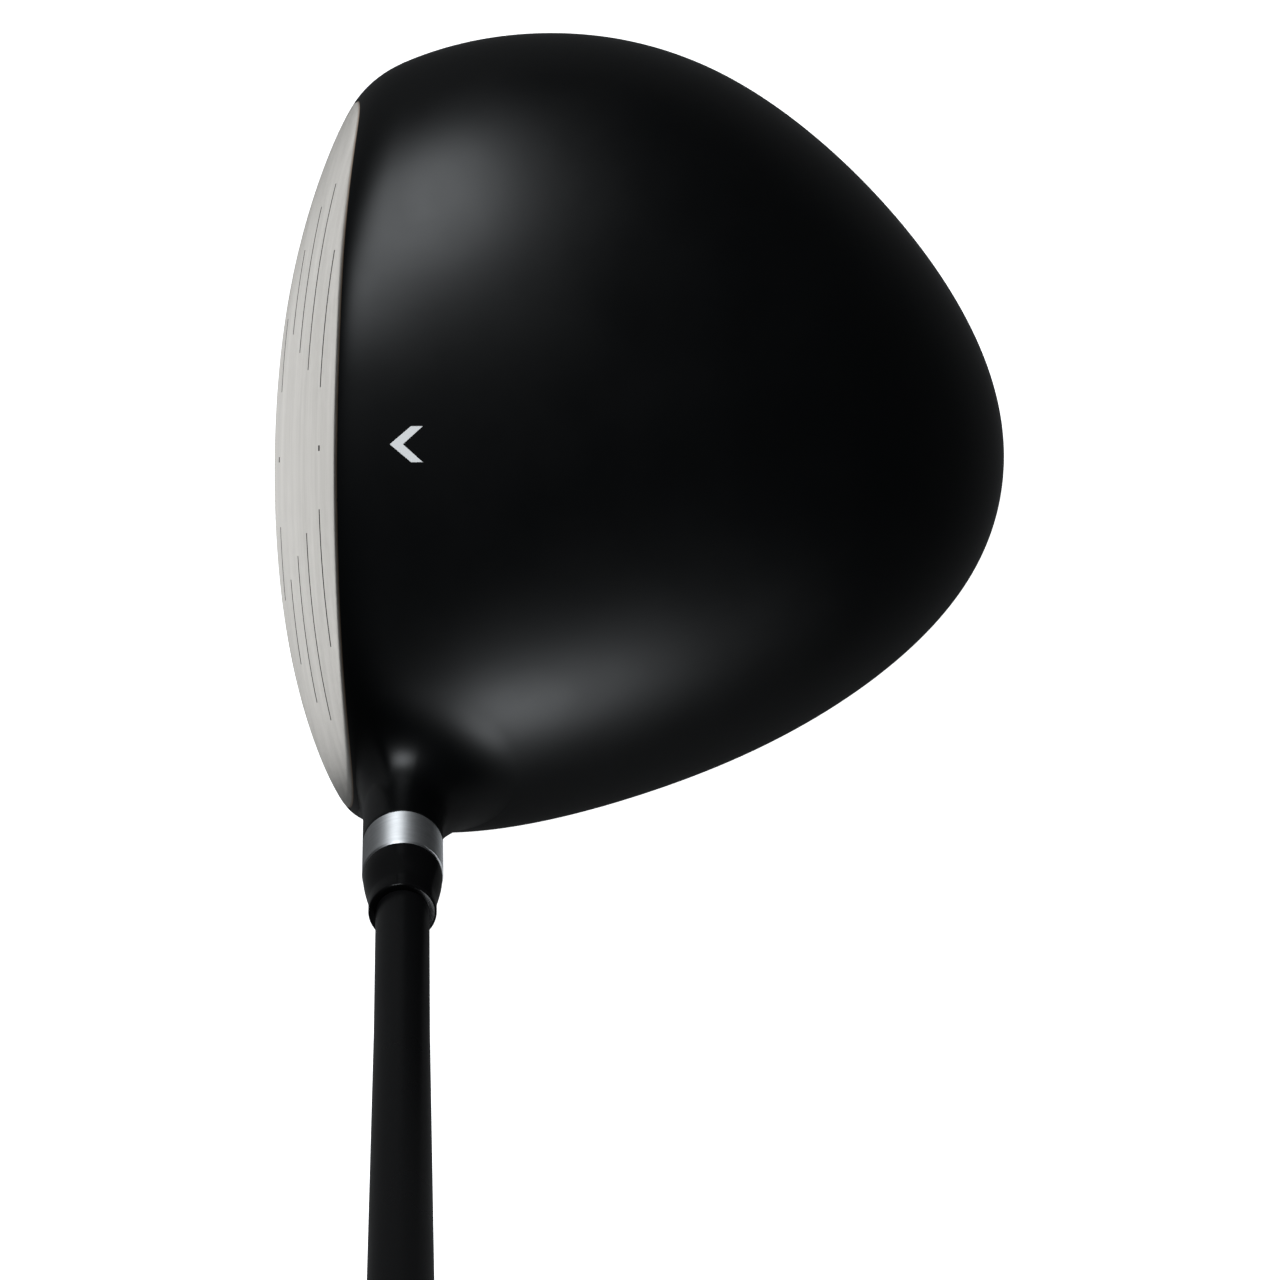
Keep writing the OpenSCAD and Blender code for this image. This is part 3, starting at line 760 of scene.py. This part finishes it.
def neck_ring():
    angle = angles(RING_POINTS)
    across = neck_reach(angle)[:, None] * on_circle(angle)
    return np.stack(pierce(AXIS_FOOT, AXIS, across, 1), -1)


CROWN_ROWS, SOLE_ROWS, BOSS_POINTS = 65, 54, 96
SKIRT_SEAM = 0.08                # depth of the seam between the skirt and the sole


def make_crown():
    """From the waist to the top, with the neck's foot left out."""
    share = np.linspace(0, 1, CROWN_ROWS + 1)[:-1]
    skin = head_skin(share, 0.0, 1.0, [EDGE_OVER], hole=neck_ring(), pole=True)
    return make_shell("crown", skin, WALL, PAINT, ["crown_shell"])


def make_neck():
    """Rows run from the crown in along its surface, up the fillet and up the straight wall."""
    angle = angles(RING_POINTS)
    circle = on_circle(angle)
    flare = neck_reach(angle) - NECK_R
    turn = np.linspace(0, math.pi / 2, FILLET_ROWS)
    long_side = towards(angle, LONG_SIDE)
    power = (FILLET + LONG_FILLET * long_side)[:, None]
    radii = NECK_R + flare[:, None] * (1 - np.sin(turn) ** power)
    foot = head_point(*pierce(AXIS_FOOT, AXIS, NECK_R * circle, 1))
    height = NECK_TOP_S - (foot - AXIS_FOOT) @ AXIS
    tall = np.minimum(flare, height - LEAST_WALL)
    tall = tall + (height - tall) * long_side
    lift = tall[:, None] * (1 - np.cos(turn) ** power)
    u, t = pierce(AXIS_FOOT, AXIS, (radii[..., None] * circle[:, None]).reshape(-1, 2), 1)
    fillet = head_point(u, t).reshape(*radii.shape, 3) + lift[..., None] * AXIS

    e1, e2 = plane_of(AXIS)
    wall_from = (fillet[:, -1] - AXIS_FOOT) @ AXIS
    rise = np.concatenate([np.linspace(0, 1, WALL_ROWS)[1:], [1]])
    s = wall_from[:, None] + (NECK_S - NECK_CHAMFER * (rise < 1) - wall_from[:, None]) * rise
    s[:, -2] = NECK_S - NECK_CHAMFER
    r = np.full(len(rise), float(NECK_R))
    r[-1] -= NECK_CHAMFER
    outwards = circle[:, None, :1] * e1 + circle[:, None, 1:] * e2
    points = np.concatenate([fillet, AXIS_FOOT + s[..., None] * AXIS + r[:, None] * outwards], 1)
    around = np.roll(points, -1, 0) - np.roll(points, 1, 0)
    normals = unit(np.cross(around, np.gradient(points, axis=1)))
    normals[(normals * outwards).sum(-1) + normals @ AXIS < 0] *= -1
    normals[:, 0] = head_normal(u, t).reshape(*radii.shape, 3)[:, 0]
    skin = (points.reshape(-1, 3), normals.reshape(-1, 3), grid_faces(*points.shape[:2]))
    return make_shell("neck", skin, WALL, PAINT, ["hosel_neck"])


def make_skirt():
    """The narrow band between the crown and the sole."""
    share = np.array([0, 0.16, 0.33, 0.5, 0.67, 0.83, 0.95, 1])
    skin = head_skin(share, 0.0, -SKIRT_SHARE, [EDGE_HEEL, EDGE_TOE], sunk_end=SKIRT_SEAM)
    return make_shell("skirt", skin, WALL, PAINT, ["skirt_shell"])


WEIGHT_P = head_point(np.array(WEIGHT_U), np.array(WEIGHT_T))
WEIGHT_N = head_normal(np.array(WEIGHT_U), np.array(WEIGHT_T))


def make_sole():
    """From the skirt to the pad, with a round hole for the weight's boss."""
    start, pad_r = np.full(len(COLUMNS), -SKIRT_SHARE), PAD_R + FIT
    end = halve(start, np.full_like(start, -1),
                lambda t: np.hypot(*head_point(COLUMNS, t)[:, :2].T) > pad_r)
    around = (BOSS_R + 2 * FIT) * on_circle(angles(BOSS_POINTS))
    ring = pierce(WEIGHT_P, WEIGHT_N, around, -1)
    share = np.linspace(0, 1, SOLE_ROWS)
    skin = head_skin(share, -SKIRT_SHARE, end, [EDGE_UNDER], hole=np.stack(ring, -1))
    return make_shell("sole", skin, SOLE_WALL, SOLE_PAINT, ["sole_shell"])


def face_skin(x, z):
    """Points of the finished face at the given x and z."""
    def body_at(u):
        o = outline(u)
        waist = WAIST_H - WAIST_SLOPE * o[..., 1]
        top = z >= waist
        rise = np.where(top, (z - waist) / (HEAD_H - waist), (waist - z) / (waist - PAD_DROP))
        sine = np.clip(rise, 0, 1) ** (np.where(top, CROWN_RISE, SOLE_RISE) / 2)
        return drawn_in(o, top, np.sqrt(1 - sine * sine))
    u = halve(*(np.full_like(x, end) for end in FACE_SPAN_U), lambda u: body_at(u)[0] > x)
    return cut(np.stack([x, body_at(u)[1], z], -1))


def face_normal(x, z):
    h = 0.05
    dx = face_skin(x + h, z) - face_skin(x - h, z)
    dz = face_skin(x, z + h) - face_skin(x, z - h)
    return unit(np.cross(dx, dz))


# Score lines on each side of the face's middle: height, inner end and outer end
SCORE_LINES = [(48.5, 10, 32.5), (39.5, 13.5, 44.5), (32, 17, 41.5), (24.5, 20.7, 35),
               (17, 11.5, 24)]
SCORE_DOTS = (48.8, 16.6)
SCORE_W, SCORE_DEPTH, SCORE_SLOPE, DOT_W = 0.55, 0.28, 0.08, 0.9
SCORE_STEP = 1.5                 # spacing of the points along a score line
FACE_ROWS = (SEAM_W, 0.95, 1.65, 2.45)     # how far in the rows lie that follow the face's edge
FIELD_FROM, FIELD_TO = (-76, 0), (66, 62)  # x and z of the points that fill the rest
FIELD_STEP = (1.5, 1.2)          # and their spacing in x and z; every other row is shifted
FIELD_CLEAR, SCORE_CLEAR = 0.7, 0.5        # their gaps from the last row and from a score line
CROWDED = 0.85                   # a row's point this share of its gap from the edge is left out
PROBE = 0.05                     # a small step that tells which side of the edge is inside


def slot_loops(x0, x1, z, width):
    """The outer and the inner outline of one slot, as points in x and z."""
    loops = []
    for inset in (0, SCORE_SLOPE):
        n = max(2, round((x1 - x0) / SCORE_STEP) + 1)
        x = np.linspace(x0 + inset, x1 - inset, n)
        half = width / 2 - inset
        loops.append(np.concatenate([np.stack([x, np.full(n, z - half)], -1),
                                     np.stack([x[::-1], np.full(n, z + half)], -1)]))
    return loops


def score_slots():
    """The outer and inner outlines of the score lines and the dots."""
    slots = [slot_loops(*sorted((side * a, side * b)), z, SCORE_W)
             for z, a, b in SCORE_LINES for side in (-1, 1)]
    return slots + [slot_loops(-DOT_W / 2, DOT_W / 2, z, DOT_W) for z in SCORE_DOTS]


def rows_inside(border):
    """Rows of points that follow the face's edge, without those that crowd at its corners."""
    tangent = unit(np.roll(border, -1, 0) - np.roll(border, 1, 0))
    inward = np.stack([-tangent[:, 1], tangent[:, 0]], -1)
    inward *= np.where(inside(border, border + inward * PROBE), 1, -1)[:, None]
    rows = []
    for gap in FACE_ROWS:
        row = border + inward * gap
        rows.append(row[inside(border, row) & (distance(row, border).min(1) > gap * CROWDED)])
    return np.concatenate(rows)


def field_inside(border):
    """Evenly spread points in the middle of the face."""
    x, z = lattice(*map(np.arange, FIELD_FROM, FIELD_TO, FIELD_STEP))
    shift = FIELD_STEP[0] / 2 * (np.round(z / FIELD_STEP[1]) % 2)
    field = np.stack([x + shift, z], -1)
    field = field[inside(border, field)]
    return field[distance(field, border).min(1) > FACE_ROWS[-1] + FIELD_CLEAR]


def make_face():
    """A plate with real grooves, whose edge carries a "rim" value of 1 for its material."""
    around = head_point(*EDGE.T)
    border, slots = around[:, [0, 2]], score_slots()
    slot_points = np.concatenate([p for pair in slots for p in pair])
    filling = np.concatenate([rows_inside(border), field_inside(border)])
    filling = filling[distance(filling, slot_points).min(1) > SCORE_CLEAR]
    flat = np.concatenate([border, filling, slot_points])
    loops, start = [list(range(len(border)))], len(border) + len(filling)
    for count in (len(p) for pair in slots for p in pair):
        loops.append(list(range(start, start + count)))
        start += count
    triangles = triangulate(flat, [e for loop in loops for e in loop_edges(loop)])
    centres = middles_of(flat, triangles)
    kept = inside(border, centres)
    triangles = [f for f, keep in zip(triangles, kept) if keep]
    in_slot = np.any([inside(outer, centres[kept]) for outer, _ in slots], 0)
    grooves = np.nonzero(in_slot)[0].tolist()

    points, normals = face_skin(*flat.T), face_normal(*flat.T)
    points[:len(border)], normals[:len(border)] = around, head_normal(*EDGE.T)
    base, sunk = points.copy(), np.concatenate(loops[2::2])
    points[sunk] -= normals[sunk] * SCORE_DEPTH
    points[:len(border)] -= normals[:len(border)] * SEAM
    faces = turned_outwards(base, normals, triangles)
    shell, shell_normals, faces, rims = thicken(points, normals, faces, FACE_WALL, base)
    look_of = np.zeros(len(faces), int)
    look_of[grooves] = 1
    piece = make_piece("face", shell, faces, shell_normals, grooves + rims,
                       [FACE_METAL, GROOVE_PAINT], look_of.tolist(), ["face_plate"])
    rim = np.zeros(len(shell))
    rim[:len(border)] = 1
    piece.data.attributes.new("rim", "FLOAT", "POINT").data.foreach_set("value", rim)
    return piece


# ---- Alignment mark: a plain chevron that points at the face

MARK_TIP_Y = -27.8
MARK_ARM, MARK_BACK, MARK_W = 2.9, 3.4, 1.9    # how far an arm goes out and back, and its width
MARK_NOTCH = 1.1                 # share of the width at which the arms meet behind the tip
MARK_H = 0.03                    # height above the crown's paint
MARK_BOW = 0.004                 # bulge of each side, so that no three of its points are in line
MARK_SIDE_POINTS, MARK_STEP, MARK_CLEAR = 8, 0.4, 0.2
MARK_FIELD_X, MARK_FIELD_Y = (-4, 4.1), (MARK_TIP_Y - 1, MARK_TIP_Y + 6)   # more than it covers


def make_mark():
    back = MARK_BACK + MARK_W
    shape = np.array([(0, 0), (MARK_ARM, MARK_BACK), (MARK_ARM, back), (0, MARK_W * MARK_NOTCH),
                      (-MARK_ARM, back), (-MARK_ARM, MARK_BACK)]) + [0, MARK_TIP_Y]
    following, n = np.roll(shape, -1, 0), MARK_SIDE_POINTS
    edge = np.concatenate([np.linspace(a, b, n, endpoint=False) for a, b in zip(shape, following)])
    bow = np.tile(np.sin(angles(n) / 2), len(shape))[:, None] * MARK_BOW
    along = np.repeat(unit(following - shape), n, 0)
    edge = edge + bow * np.stack([along[:, 1], -along[:, 0]], -1)
    x, y = lattice(*(np.arange(*ends, MARK_STEP) for ends in (MARK_FIELD_X, MARK_FIELD_Y)))
    field = np.stack([x, y], -1)
    field = field[inside(edge, field)]
    field = field[distance(field, edge).min(1) > MARK_CLEAR]
    flat = np.concatenate([edge, field])
    triangles = triangulate(flat, loop_edges(list(range(len(edge)))))
    kept = inside(edge, middles_of(flat, triangles))
    triangles = [f for f, keep in zip(triangles, kept) if keep]
    up = np.array([0.0, 0, 1])
    level = np.c_[flat, np.zeros(len(flat))]
    u, t = pierce(np.zeros(3), up, np.stack([level @ e for e in plane_of(up)], -1), 1)
    normals = head_normal(u, t)
    skin = (head_point(u, t) + normals * MARK_H, normals, triangles)
    return make_shell("mark", skin, MARK_H * 0.9, MARK_PAINT, [])


# ---- Turned pieces

def frame_at(foot, direction):
    """Matrix that puts local Z along a direction, with the origin at foot."""
    e1, e2 = plane_of(direction)
    m = Matrix(np.stack([e1, e2, direction], -1).tolist()).to_4x4()
    m.translation = Vector((foot * MM).tolist())
    return m


ON_AXIS = frame_at(AXIS_FOOT, AXIS)
UPRIGHT = frame_at(np.zeros(3), np.array([0.0, 0, 1]))


def round_z(angle, r, z):
    """Points about local Z, a column for each angle. r may differ from angle to angle."""
    plan = on_circle(angle)[:, None] * np.broadcast_to(r, (len(angle), len(z)))[..., None]
    return np.concatenate([plan, np.broadcast_to(z, plan.shape[:2])[..., None]], -1)


def turn(name, profile, look, slot, stands_for, place=ON_AXIS, segments=128):
    """A solid of revolution about local Z from (z, r) points; a point with r 0 is a pole."""
    z, r = np.array(profile, float).T
    rows = len(z)
    points = round_z(angles(segments), r, z).reshape(-1, 3)
    faces = []
    for quad in grid_faces(segments, rows, closed=True):
        if r[quad[0] % rows] or r[quad[2] % rows]:
            faces.append(tuple(dict.fromkeys(v if r[v % rows] else v % rows for v in quad)))
    used = sorted({v for f in faces for v in f})
    order = {v: n for n, v in enumerate(used)}
    faces = [tuple(order[v] for v in f) for f in faces]
    piece = make_piece(name, points[used], faces, None, (), [look], None, stands_for, place)
    fix_winding(piece)
    return piece


def fix_winding(piece):
    """Makes all the faces of a closed piece look outwards."""
    bm = bmesh.new()
    bm.from_mesh(piece.data)
    bmesh.ops.recalc_face_normals(bm, faces=bm.faces)
    bm.to_mesh(piece.data)
    bm.free()
    piece.data.set_sharp_from_angle(angle=SHARP)


def arc(z, r, size, start, end, count=6):
    """Points of a rounded edge about (z, r), by angle in degrees from +Z towards +R."""
    a = np.radians(np.linspace(start, end, count))
    return [(z + size * math.cos(k), r + size * math.sin(k)) for k in a]


RING_S = NECK_S + RING_L
FERRULE_S = RING_S + FERRULE_L


def make_ring():
    bore, top, foot = TIP_R + FIT, 0.35, 0.12
    profile = [(NECK_S, bore), (NECK_S, NECK_R - foot), (NECK_S + foot, NECK_R)]
    profile += [(RING_S - top, NECK_R), (RING_S, NECK_R - top), (RING_S, bore)]
    return turn("ring", profile, ALUMINIUM, "turned_aluminium", ["trim_ring"], segments=160)


def make_ferrule():
    """A barrel that narrows in one curve to a straight collar with a rounded lip."""
    bore, collar, lip, chamfer, rows, power = TIP_R + FIT, 3, 0.4, 0.15, 24, 1.3
    low, curve = NECK_R - chamfer, FERRULE_L - collar
    profile = [(RING_S, bore), (RING_S, low - chamfer), (RING_S + chamfer, low)]
    for k in range(1, rows + 1):
        narrowed = math.cos(k / rows * math.pi / 2) ** power
        profile.append((RING_S + curve * (k / rows), FERRULE_R + (low - FERRULE_R) * narrowed))
    profile.append((RING_S + curve + collar / 2, FERRULE_R))
    profile += arc(FERRULE_S - lip, FERRULE_R - lip, lip, 90, 0)
    profile.append((FERRULE_S, bore))
    return turn("ferrule_body", profile, GLOSS_BLACK, "gloss_black_plastic", ["ferrule"],
                segments=160)


# The shaft's radius at places along it
SHAFT_KNEES = [(TIP_S, TIP_R), (TIP_S + 92, TIP_R), (TIP_S + 160, TIP_R + 0.5), (986, BUTT_R),
               (1136, BUTT_R)]


def shaft_r(s):
    return np.interp(s, *zip(*SHAFT_KNEES))


def make_shaft():
    ends = [SHAFT_KNEES[0][0], SHAFT_KNEES[-1][0]]
    s = np.unique(np.concatenate([np.linspace(*ends, 90), [k[0] for k in SHAFT_KNEES]]))
    r = shaft_r(s)
    bore = r - np.interp(s, ends, [TIP_WALL, BUTT_WALL])
    profile = [*zip(s, r), *zip(s[::-1], bore[::-1])]
    return turn("shaft_tube", profile, SHAFT_PAINT, "black_shaft_paint", ["shaft"], segments=96)


def groove(z, r, rise, outer, inner):
    """A ring-shaped groove in a flat end."""
    return [(z, r + outer), (z + rise, r + inner), (z + rise, r - inner), (z, r - outer)]


def make_pad():
    """A flat steel disc with a chamfer and two fine turned grooves."""
    chamfer, depth = 0.8, 0.12
    profile = [(PAD_T, 0), (0, 0)]
    for share in (0.35, 0.72):
        profile += groove(0, PAD_R * share, depth, -2 * depth, -depth)
    profile += [(0, PAD_R - chamfer), (chamfer, PAD_R), (PAD_T, PAD_R)]
    return turn("rest_pad", profile, STEEL, "plated_steel", ["sole_pad"], UPRIGHT)


# ---- Grip

SLOTS_ROUND, SLOT_PITCH, SLOT_L = 18, 7.0, 4.4
SLOT_W, SLOT_FLANK = 0.20, 0.035  # widths as shares of the distance round from slot to slot
SLOT_DEPTH, SLOT_END = 0.35, 0.4  # depth, and length of the slope at each end
PLAIN_LOW, PLAIN_TOP = 14, 10     # plain lengths at the grip's ends
BEAD = 0.8                        # the bead's thickness is half of this, its length four times
BAND = np.array([0, 0.3, 1, 1.3])  # the fine ring near each end, from its start
BAND_LOW, BAND_TOP, BAND_DEPTH = 7, 5, 0.3
GRIP_LIP, LIP_IN, FOOT_IN = 0.3, 0.25, 0.1  # its edges: height at the top, and how far each goes in


def slot_rows():
    """The heights of the rows of slots, evenly spread between the plain ends."""
    first, last = GRIP_LOW_S + PLAIN_LOW, CAP_S - PLAIN_TOP
    count = int((last - first) / SLOT_PITCH)
    spare = (last - first - count * SLOT_PITCH) / 2
    return first + SLOT_PITCH * (np.arange(count) + 0.5) + spare


def make_grip():
    """A tapered sleeve with staggered slots pressed into it, plain ends and a bead at its foot."""
    # Columns: across one slot, and across the slot of the next row, which is half a step round
    half_w, half_l = SLOT_W / 2, SLOT_L / 2
    marks = np.array([-half_w - SLOT_FLANK, -half_w, 0, half_w, half_w + SLOT_FLANK])
    column = np.sort(np.concatenate([marks % 1, (marks + 0.5) % 1]))
    turns = (np.arange(SLOTS_ROUND)[:, None] + column).ravel() / SLOTS_ROUND
    centres = slot_rows()
    ends = np.array([-half_l - SLOT_END, -half_l, 0, half_l, half_l + SLOT_END])
    s = np.concatenate([
        [GRIP_LOW_S], GRIP_LOW_S + BEAD * np.array([0.15, 1, 2, 3, 4]),
        GRIP_LOW_S + BAND_LOW + BAND, (centres[:, None] + ends).ravel(),
        CAP_S - BAND_TOP + BAND, [CAP_S - GRIP_LIP, CAP_S]])
    radius = np.interp(s, [GRIP_LOW_S + 4 * BEAD, CAP_S], [GRIP_LOW_R, GRIP_TOP_R])
    radius[1:6] = GRIP_LOW_R + BEAD / 2 * np.array([0.3, 1, 1, 1, 0])
    radius[0] = GRIP_LOW_R - FOOT_IN
    radius[[7, 8, -5, -4]] -= BAND_DEPTH
    radius[-1] -= LIP_IN
    shape = np.repeat(radius[None], len(turns), 0)
    share = (turns * SLOTS_ROUND) % 1
    for n, c in enumerate(centres):
        off = (share + (0.5 if n % 2 else 0) + 0.5) % 1 - 0.5
        low, at = np.abs(off) <= half_w + 1e-6, np.abs(s - c) <= half_l + 1e-6
        shape[np.ix_(low, at)] -= SLOT_DEPTH
    angle = 2 * math.pi * turns
    inner = round_z(angle, shaft_r(s) + FIT, s)
    grid = np.concatenate([round_z(angle, shape, s), inner[:, ::-1]], 1)
    faces = grid_faces(*grid.shape[:2], closed=True)
    piece = make_piece("grip_rubber", grid.reshape(-1, 3), faces, None, (), [RUBBER], None,
                       ["grip_sleeve"], ON_AXIS)
    piece.data.set_sharp_from_angle(angle=GRIP_SHARP)
    return piece


def make_cap():
    """A disc with a rounded edge, two ring-shaped grooves and the vent's bore."""
    r, edge, chamfer, depth = GRIP_TOP_R + 0.5, 1.6, 0.3, 0.25
    top = CAP_S + CAP_T
    profile = [(CAP_S, VENT_R), (CAP_S, r - chamfer), (CAP_S + chamfer, r)]
    profile += arc(top - edge, r - edge, edge, 90, 0, 8)
    for ring in (9.4, 6.0):
        profile += groove(top, ring, -depth, 0.3, 0.15)
    profile += [(top, VENT_R + chamfer), (top - chamfer, VENT_R)]
    return turn("grip_end", profile, RUBBER, "grip_rubber", ["grip_cap"])


# ---- CAD nodes that are shown as they are

CAD_LOOKS = {"hosel_tube": TITANIUM, "tube_plug": NYLON, "weight_boss": TITANIUM,
             "weight_washer": RUBBER, "weight_slug": TUNGSTEN, "weight_screw": STEEL,
             "hot_melt": GLUE, "tip_weight": BRASS, "grip_tape": TAPE}


def dress_cad_nodes():
    for name, look in CAD_LOOKS.items():
        mesh = frame["nodes"][name].data
        mesh.materials.clear()
        mesh.materials.append(look)


# ---- Stage: floor, world, lights and camera

FLOOR_R, FLOOR_SIDES = 4.0, 48
FLOOR_PALE, FLOOR_PALER = (0.84, 0.84, 0.84), (0.86, 0.86, 0.86)
FLOOR_DIM = (0.13, 0.13, 0.13)   # the floor as the club reflects it
FLOOR_GLOW, FLOOR_GLOW_SEEN = 0.03, 0.97
SKY_LOW, SKY_HIGH = (0.06, 0.06, 0.06, 1), (0.014, 0.015, 0.016, 1)
SKY_HIGH_Z = 0.35                # how high the sky reaches its overhead colour
WHITE = (1.0, 1.0, 1.0)
COOL = (0.92, 0.965, 1.0)


def floor_look():
    """Pale to the camera, where it glows like a white sweep, and dim in reflections."""
    look = Look("floor", FLOOR_PALER, 0.9)
    pale = look.mottle(look.noise(60), FLOOR_PALER, FLOOR_PALE)
    seen = look.nodes.new("ShaderNodeLightPath").outputs["Is Camera Ray"]
    look.tint(seen, FLOOR_DIM, pale)
    look.shader.inputs["Emission Color"].default_value = (*WHITE, 1)
    glow = look.spread(seen, FLOOR_GLOW, FLOOR_GLOW_SEEN, 0, 1)
    look.links.new(glow, look.shader.inputs["Emission Strength"])
    return look.material


def make_floor():
    rim = [(x, y, 0) for x, y in FLOOR_R * on_circle(angles(FLOOR_SIDES))]
    mesh = bpy.data.meshes.new("floor")
    mesh.from_pydata(rim, [], [range(FLOOR_SIDES)])
    mesh.materials.append(floor_look())
    add_object("floor", mesh)


def make_world():
    """Dark overhead and brighter towards the horizon; white to the camera."""
    world = bpy.data.worlds.new("studio")
    bpy.context.scene.world = world
    world.use_nodes = True
    tree = world.node_tree
    split = tree.nodes.new("ShaderNodeSeparateXYZ")
    tree.links.new(tree.nodes.new("ShaderNodeTexCoord").outputs["Generated"], split.inputs[0])
    sky = tree.nodes.new("ShaderNodeValToRGB")
    stops = sky.color_ramp.elements
    stops[0].position, stops[1].position = 0.0, SKY_HIGH_Z
    stops[0].color, stops[1].color = SKY_LOW, SKY_HIGH
    tree.links.new(split.outputs["Z"], sky.inputs["Fac"])
    seen = tree.nodes.new("ShaderNodeLightPath").outputs["Is Camera Ray"]
    colour = blended(tree, seen, sky.outputs["Color"], WHITE)
    tree.links.new(colour, tree.nodes["Background"].inputs["Color"])


def softbox(name, azimuth, elevation, distance, size, radiance, colour=WHITE, aim=(0, 0, 0.04)):
    """An area light that looks at aim. Azimuth is from +X towards +Y, in degrees; radiance
    sets its brightness whatever its size."""
    a, e = math.radians(azimuth), math.radians(elevation)
    away = Vector((math.cos(a) * math.cos(e), math.sin(a) * math.cos(e), math.sin(e)))
    light = bpy.data.lights.new(name, "AREA")
    light.shape = "RECTANGLE"
    light.size, light.size_y = size
    light.energy = radiance * math.pi * size[0] * size[1]
    light.color = colour
    lamp = add_object(name, light)
    lamp.location = Vector(aim) + away * distance
    lamp.rotation_mode = "QUATERNION"
    lamp.rotation_quaternion = away.to_track_quat("Z", "Y")
    lamp.visible_camera = False
    return lamp


def light_only(lamp, piece):
    """Keeps a lamp's light, and its reflection, to one piece."""
    lit = bpy.data.collections.new(lamp.name + "_lights")
    lit.objects.link(piece)
    lamp.light_linking.receiver_collection = lit


def make_lights(face):
    """Two boxes beside the club, and a card just over the floor that lights the face."""
    softbox("toe_box", -158, 42, 1.3, (0.55, 0.62), 12.0, COOL)
    softbox("heel_box", 14, 35, 1.3, (0.33, 0.33), 19.8, COOL)
    card = softbox("face_card", -90, -90, 0.498, (0.20, 0.13), 0.95, aim=(-0.04, -0.115, 0.5))
    light_only(card, face)


def make_camera():
    """Above the head, a little towards the face and the heel."""
    aim, distance = Vector((0.0310, 0.0140, 0.030)), 0.7731
    back = Vector((0.0206, -0.0484, 1)).normalized()
    right = (Vector((0, 1, 0)) - back * back.y).normalized()
    lens = bpy.data.cameras.new("camera")
    lens.lens, lens.sensor_width = 129.4, 36
    lens.clip_start, lens.clip_end = 0.05, 50
    camera = add_object("camera", lens)
    camera.matrix_world = Matrix((right, back.cross(right), back)).transposed().to_4x4()
    camera.location = aim + back * distance
    bpy.context.scene.camera = camera


make_crown()
make_neck()
make_skirt()
make_sole()
FACE = make_face()
make_mark()
make_ring()
make_ferrule()
make_shaft()
make_pad()
make_grip()
make_cap()
dress_cad_nodes()

make_floor()
make_world()
make_lights(FACE)
make_camera()
bpy.context.scene.view_settings.view_transform = "Standard"
